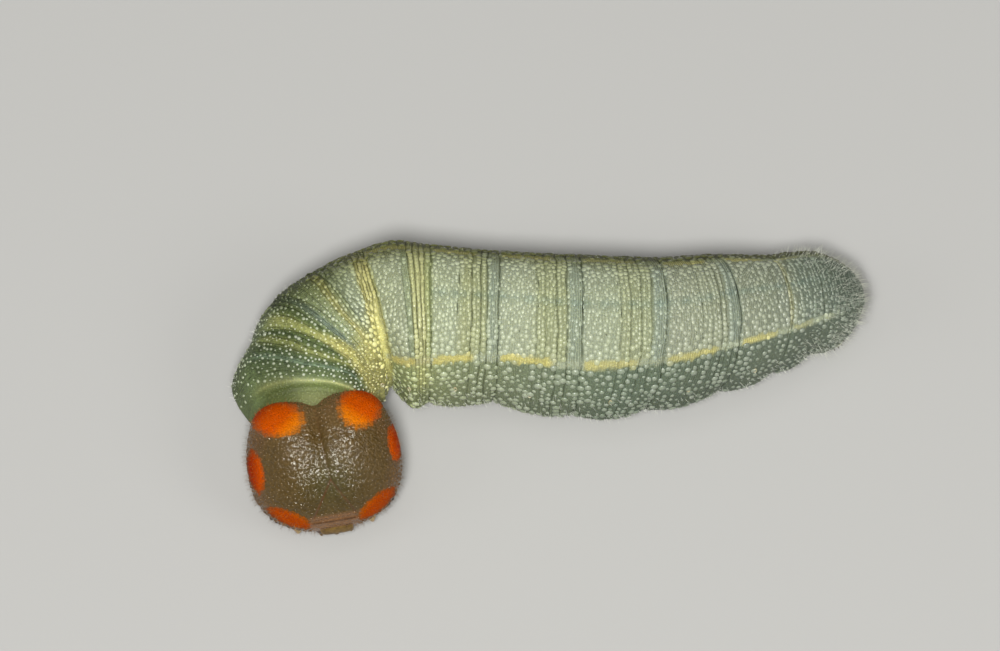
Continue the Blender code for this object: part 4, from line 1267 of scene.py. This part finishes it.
def stalk(foot, inward, lean, profile, squash, first, second, sides):
    """A proleg or leg that rises from its foot and leans inwards."""
    rows = [(raised(foot + inward * lean * height, height), radius, radius * squash) for radius, height in profile]
    return tube(rows, first, second, sides)


def make_prolegs(finish):
    """Soft stubs with two creases and a padded sole, their tops sunk in the belly."""
    for name, foot, inward in FEET:
        stub = stalk(foot, inward, PROLEG_LEAN, PROLEG_PROFILE, 0.94, raised((1, 0)), raised((0, 1)), 28)
        dress(to_piece(name + "_flesh", [stub]), finish, "proleg_skin", name)


def make_hooks(finish):
    """A ring of tiny curved hooks round each sole."""
    hooks, up = [], raised((0, 0), 1)
    for _, foot, _ in FEET:
        for a in turns(HOOKS):
            out, side = raised((math.cos(a), math.sin(a))), raised((-math.sin(a), math.cos(a)))
            rows = [(raised(foot, rise) + out * (HOOK_CIRCLE + step), wide, wide) for step, rise, wide in HOOK_ROWS]
            hooks.append(tube(rows, side, up, 5))
    dress(to_piece("sole_hooks", hooks, 0), finish, "mandible")


def make_legs(finish, claw_finish):
    """Four joints that narrow to a dark claw."""
    claws = []
    for row, at, further in LEG_ROWS:
        centre, outward, ahead = pick(0, *section(np.array([at]))[:3])
        centre = centre + ahead * further
        for side, sign in SIDES:
            name, foot, inward = "leg_%s_%s" % (row, side), centre + outward * LEG_OUT * sign, -outward * sign
            axes = raised(inward), raised(ahead)
            shell = stalk(foot, inward, LEG_LEAN, LEG_PROFILE, 0.92, *axes, 20)
            dress(to_piece(name + "_shell", [shell]), finish, "leg_shell", name)
            rows = [(raised(foot + inward * step, height), wide, wide) for step, height, wide in CLAW_ROWS]
            claws.append(tube(rows, *axes, 8))
    dress(to_piece("claws", claws), claw_finish, "mandible")


def head_tube(rows, sides=24, sign=1):
    """A small part of the head, on its left side or, with sign -1, on its right."""
    rows = [(on_head((sign * x, y, z)), wide, deep) for x, y, z, wide, deep in rows]
    return tube(rows, HEAD_AXES[0], HEAD_AXES[2], sides)


def make_mouth(plate, jaw, feeler):
    dress(to_piece("upper_lip", [head_tube(LABRUM)]), plate, "mouth_plate", "labrum")
    palps = [head_tube(PALP, 14, sign) for _, sign in SIDES]
    dress(to_piece("lower_lip", [head_tube(LABIUM), *palps]), plate, "mouth_plate", "labium")
    for side, sign in SIDES:
        dress(to_piece("jaw_" + side, [head_tube(JAW, 24, sign)]), jaw, "mandible", "mandible_" + side)
        dress(to_piece("feeler_" + side, [head_tube(FEELER, 18, sign)]), feeler, "feeler", "antenna_" + side)


def make_eyes(finish):
    """Six glossy lenses in a curved row low on each side of the head."""
    row = np.radians(-95 + 38 * np.arange(6))
    for side, sign in SIDES:
        turn, tilt = sign * (math.radians(128) + 0.125 * np.cos(row)), math.radians(97) + 0.10 * np.sin(row)
        places, frames, _ = head_surface(head_rays(turn, tilt))
        lenses = []
        for place, (first, second, out) in zip(places, frames):
            wides = [LENS_RADIUS * math.sqrt(1 - max(0, rise) ** 2) for rise in LENS_RISES]
            rows = [(place + out * rise * LENS_HEIGHT, wide, wide) for rise, wide in zip(LENS_RISES, wides)]
            lenses.append(tube(rows, first, second, 16))
        dress(to_piece("lenses_" + side, lenses), finish, "eye", "eye_" + side)


def make_spiracles(finish):
    """A small raised oval ring with a dark slit on each flank of the abdomen."""
    parts = []
    for n in range(2, 10):
        for _, sign in SIDES:
            places, frames = surface(np.array([n + SPIRACLE_AT]), np.radians([sign * SPIRACLE_TURN]))
            first, second, out = frames[0]
            rows = [(places[0] + out * rise, radius * 0.72, radius * 1.15) for radius, rise in SPIRACLE_ROWS]
            parts.append(tube(rows, first, second, 18))
    dress(to_piece("breathing_rings", parts), finish, "body_skin")


def make_dashes(finish):
    """Short dark lines in the grooves of the back, and a few dots."""
    parts = []
    for at, middle, span in DASHES:
        turn = np.radians(np.linspace(middle - span / 2, middle + span / 2, 7))
        rings = []
        for i, (place, (first, _, out)) in enumerate(zip(*surface(at + 0.004 * np.sin(np.linspace(0, 5, 7)), turn))):
            thick = 0.010 * math.sin(math.pi * (i + 0.6) / 7.2)
            rings.append(ring_at(place + out * 0.026, thick, thick * 0.6, first, out, 6))
        parts.append(loft(rings))
    dress(to_piece("back_dashes", parts), finish, "body_skin")


def aimed(name, data, azimuth, elevation, distance):
    """Sets a lamp or the camera at its distance, looking at the model's middle."""
    obj = placed(name, data)
    a, e = math.radians(azimuth), math.radians(elevation)
    back = Vector((math.sin(a) * math.cos(e), -math.cos(a) * math.cos(e), math.sin(e)))
    obj.location = AIM + back * distance
    obj.rotation_euler = (-back).to_track_quat("-Z", "Y").to_euler()
    return obj


def make_stage():
    """A plain pale floor with soft lights and the camera at the photograph's angle."""
    bm = bmesh.new()
    bmesh.ops.create_grid(bm, x_segments=2, y_segments=2, size=0.6)
    floor = placed("floor", mesh_of("floor", bm))
    finish = Finish("floor_paper", {"Base Color": FLOOR_TINT, "Specular IOR Level": 0.1})
    finish.feed({"Roughness": 0.8 + 0.1 * finish.noise(400, 3)})
    floor.data.materials.append(finish.material)
    for name, azimuth, elevation, distance, size, power in LIGHTS:
        light = bpy.data.lights.new(name, "AREA")
        light.shape = "DISK"
        light.size = size
        light.energy = power
        aimed(name, light, azimuth, elevation, distance)
    world = bpy.data.worlds.new("studio")
    world.use_nodes = True
    world.node_tree.nodes["Background"].inputs["Color"].default_value = WORLD_TINT
    world.node_tree.nodes["Background"].inputs["Strength"].default_value = WORLD_LIGHT
    bpy.context.scene.world = world
    camera = bpy.data.cameras.new("camera")
    camera.sensor_width = SENSOR
    camera.lens = SENSOR * CAMERA_FAR / (VIEW_WIDTH * MM)
    camera.clip_start, camera.clip_end = 0.01, 5
    bpy.context.scene.camera = aimed("camera", camera, 0, CAMERA_HEIGHT, CAMERA_FAR)
    bpy.context.scene.view_settings.view_transform = "Standard"


def pebbles(name, gloss, rough):
    fixed = {"Specular IOR Level": gloss, "IOR": 1.4, "Specular Tint": WARM_GLINT}
    return grain_finish(name, 40000, 0.2, rough, 0.2, 0.000004, fixed)


def soft(weight, scale):
    return {"Subsurface Weight": weight, "Subsurface Scale": scale}


def lacquer(weight, rough):
    return {"Coat Weight": weight, "Coat Roughness": rough}


firm = {**soft(0.16, 0.0001), "Subsurface Radius": (0.5, 0.45, 0.3), "Specular IOR Level": 0.5}
fine_hair = hair_finish()
make_skin(body_skin_finish())
along, around, size = scatter_granules(grain_finish("larva_granules", 30000, 0.24, 0.20, 0.22, 0.000006, firm))
make_body_hair(fine_hair, along, around, size)
make_head(head_shell_finish())
make_head_grains(pebbles("head_grains", 0.7, 0.12), pebbles("spot_grains", 0.04, 0.22))
make_head_hair(fine_hair)
make_eyes(plain_finish("lens", (14, 9, 7), (40, 24, 14), 0.05, 9000, lacquer(1.0, 0.03)))
straw = plain_finish("straw_shell", (150, 122, 76), (196, 170, 118), 0.28, 6000, soft(0.15, 0.0002))
dark = plain_finish("dark_claw", (38, 20, 11), (78, 44, 22), 0.16, 9000, lacquer(0.6, 0.1))
cream = plain_finish("lip_plate", (70, 48, 8), (124, 96, 36), 0.34, 7000, lacquer(0.4, 0.15))
make_mouth(cream, dark, straw)
make_legs(straw, dark)
make_prolegs(plain_finish("proleg_flesh", (128, 142, 104), (170, 180, 142), 0.42, 7000, soft(0.25, 0.0004)))
make_hooks(dark)
make_spiracles(plain_finish("spiracle", (150, 140, 100), (214, 208, 172), 0.35, 9000, soft(0.1, 0.0002)))
make_dashes(plain_finish("dark_line", (30, 38, 24), (66, 74, 48), 0.6, 12000, {"Specular IOR Level": 0.2}))
make_stage()
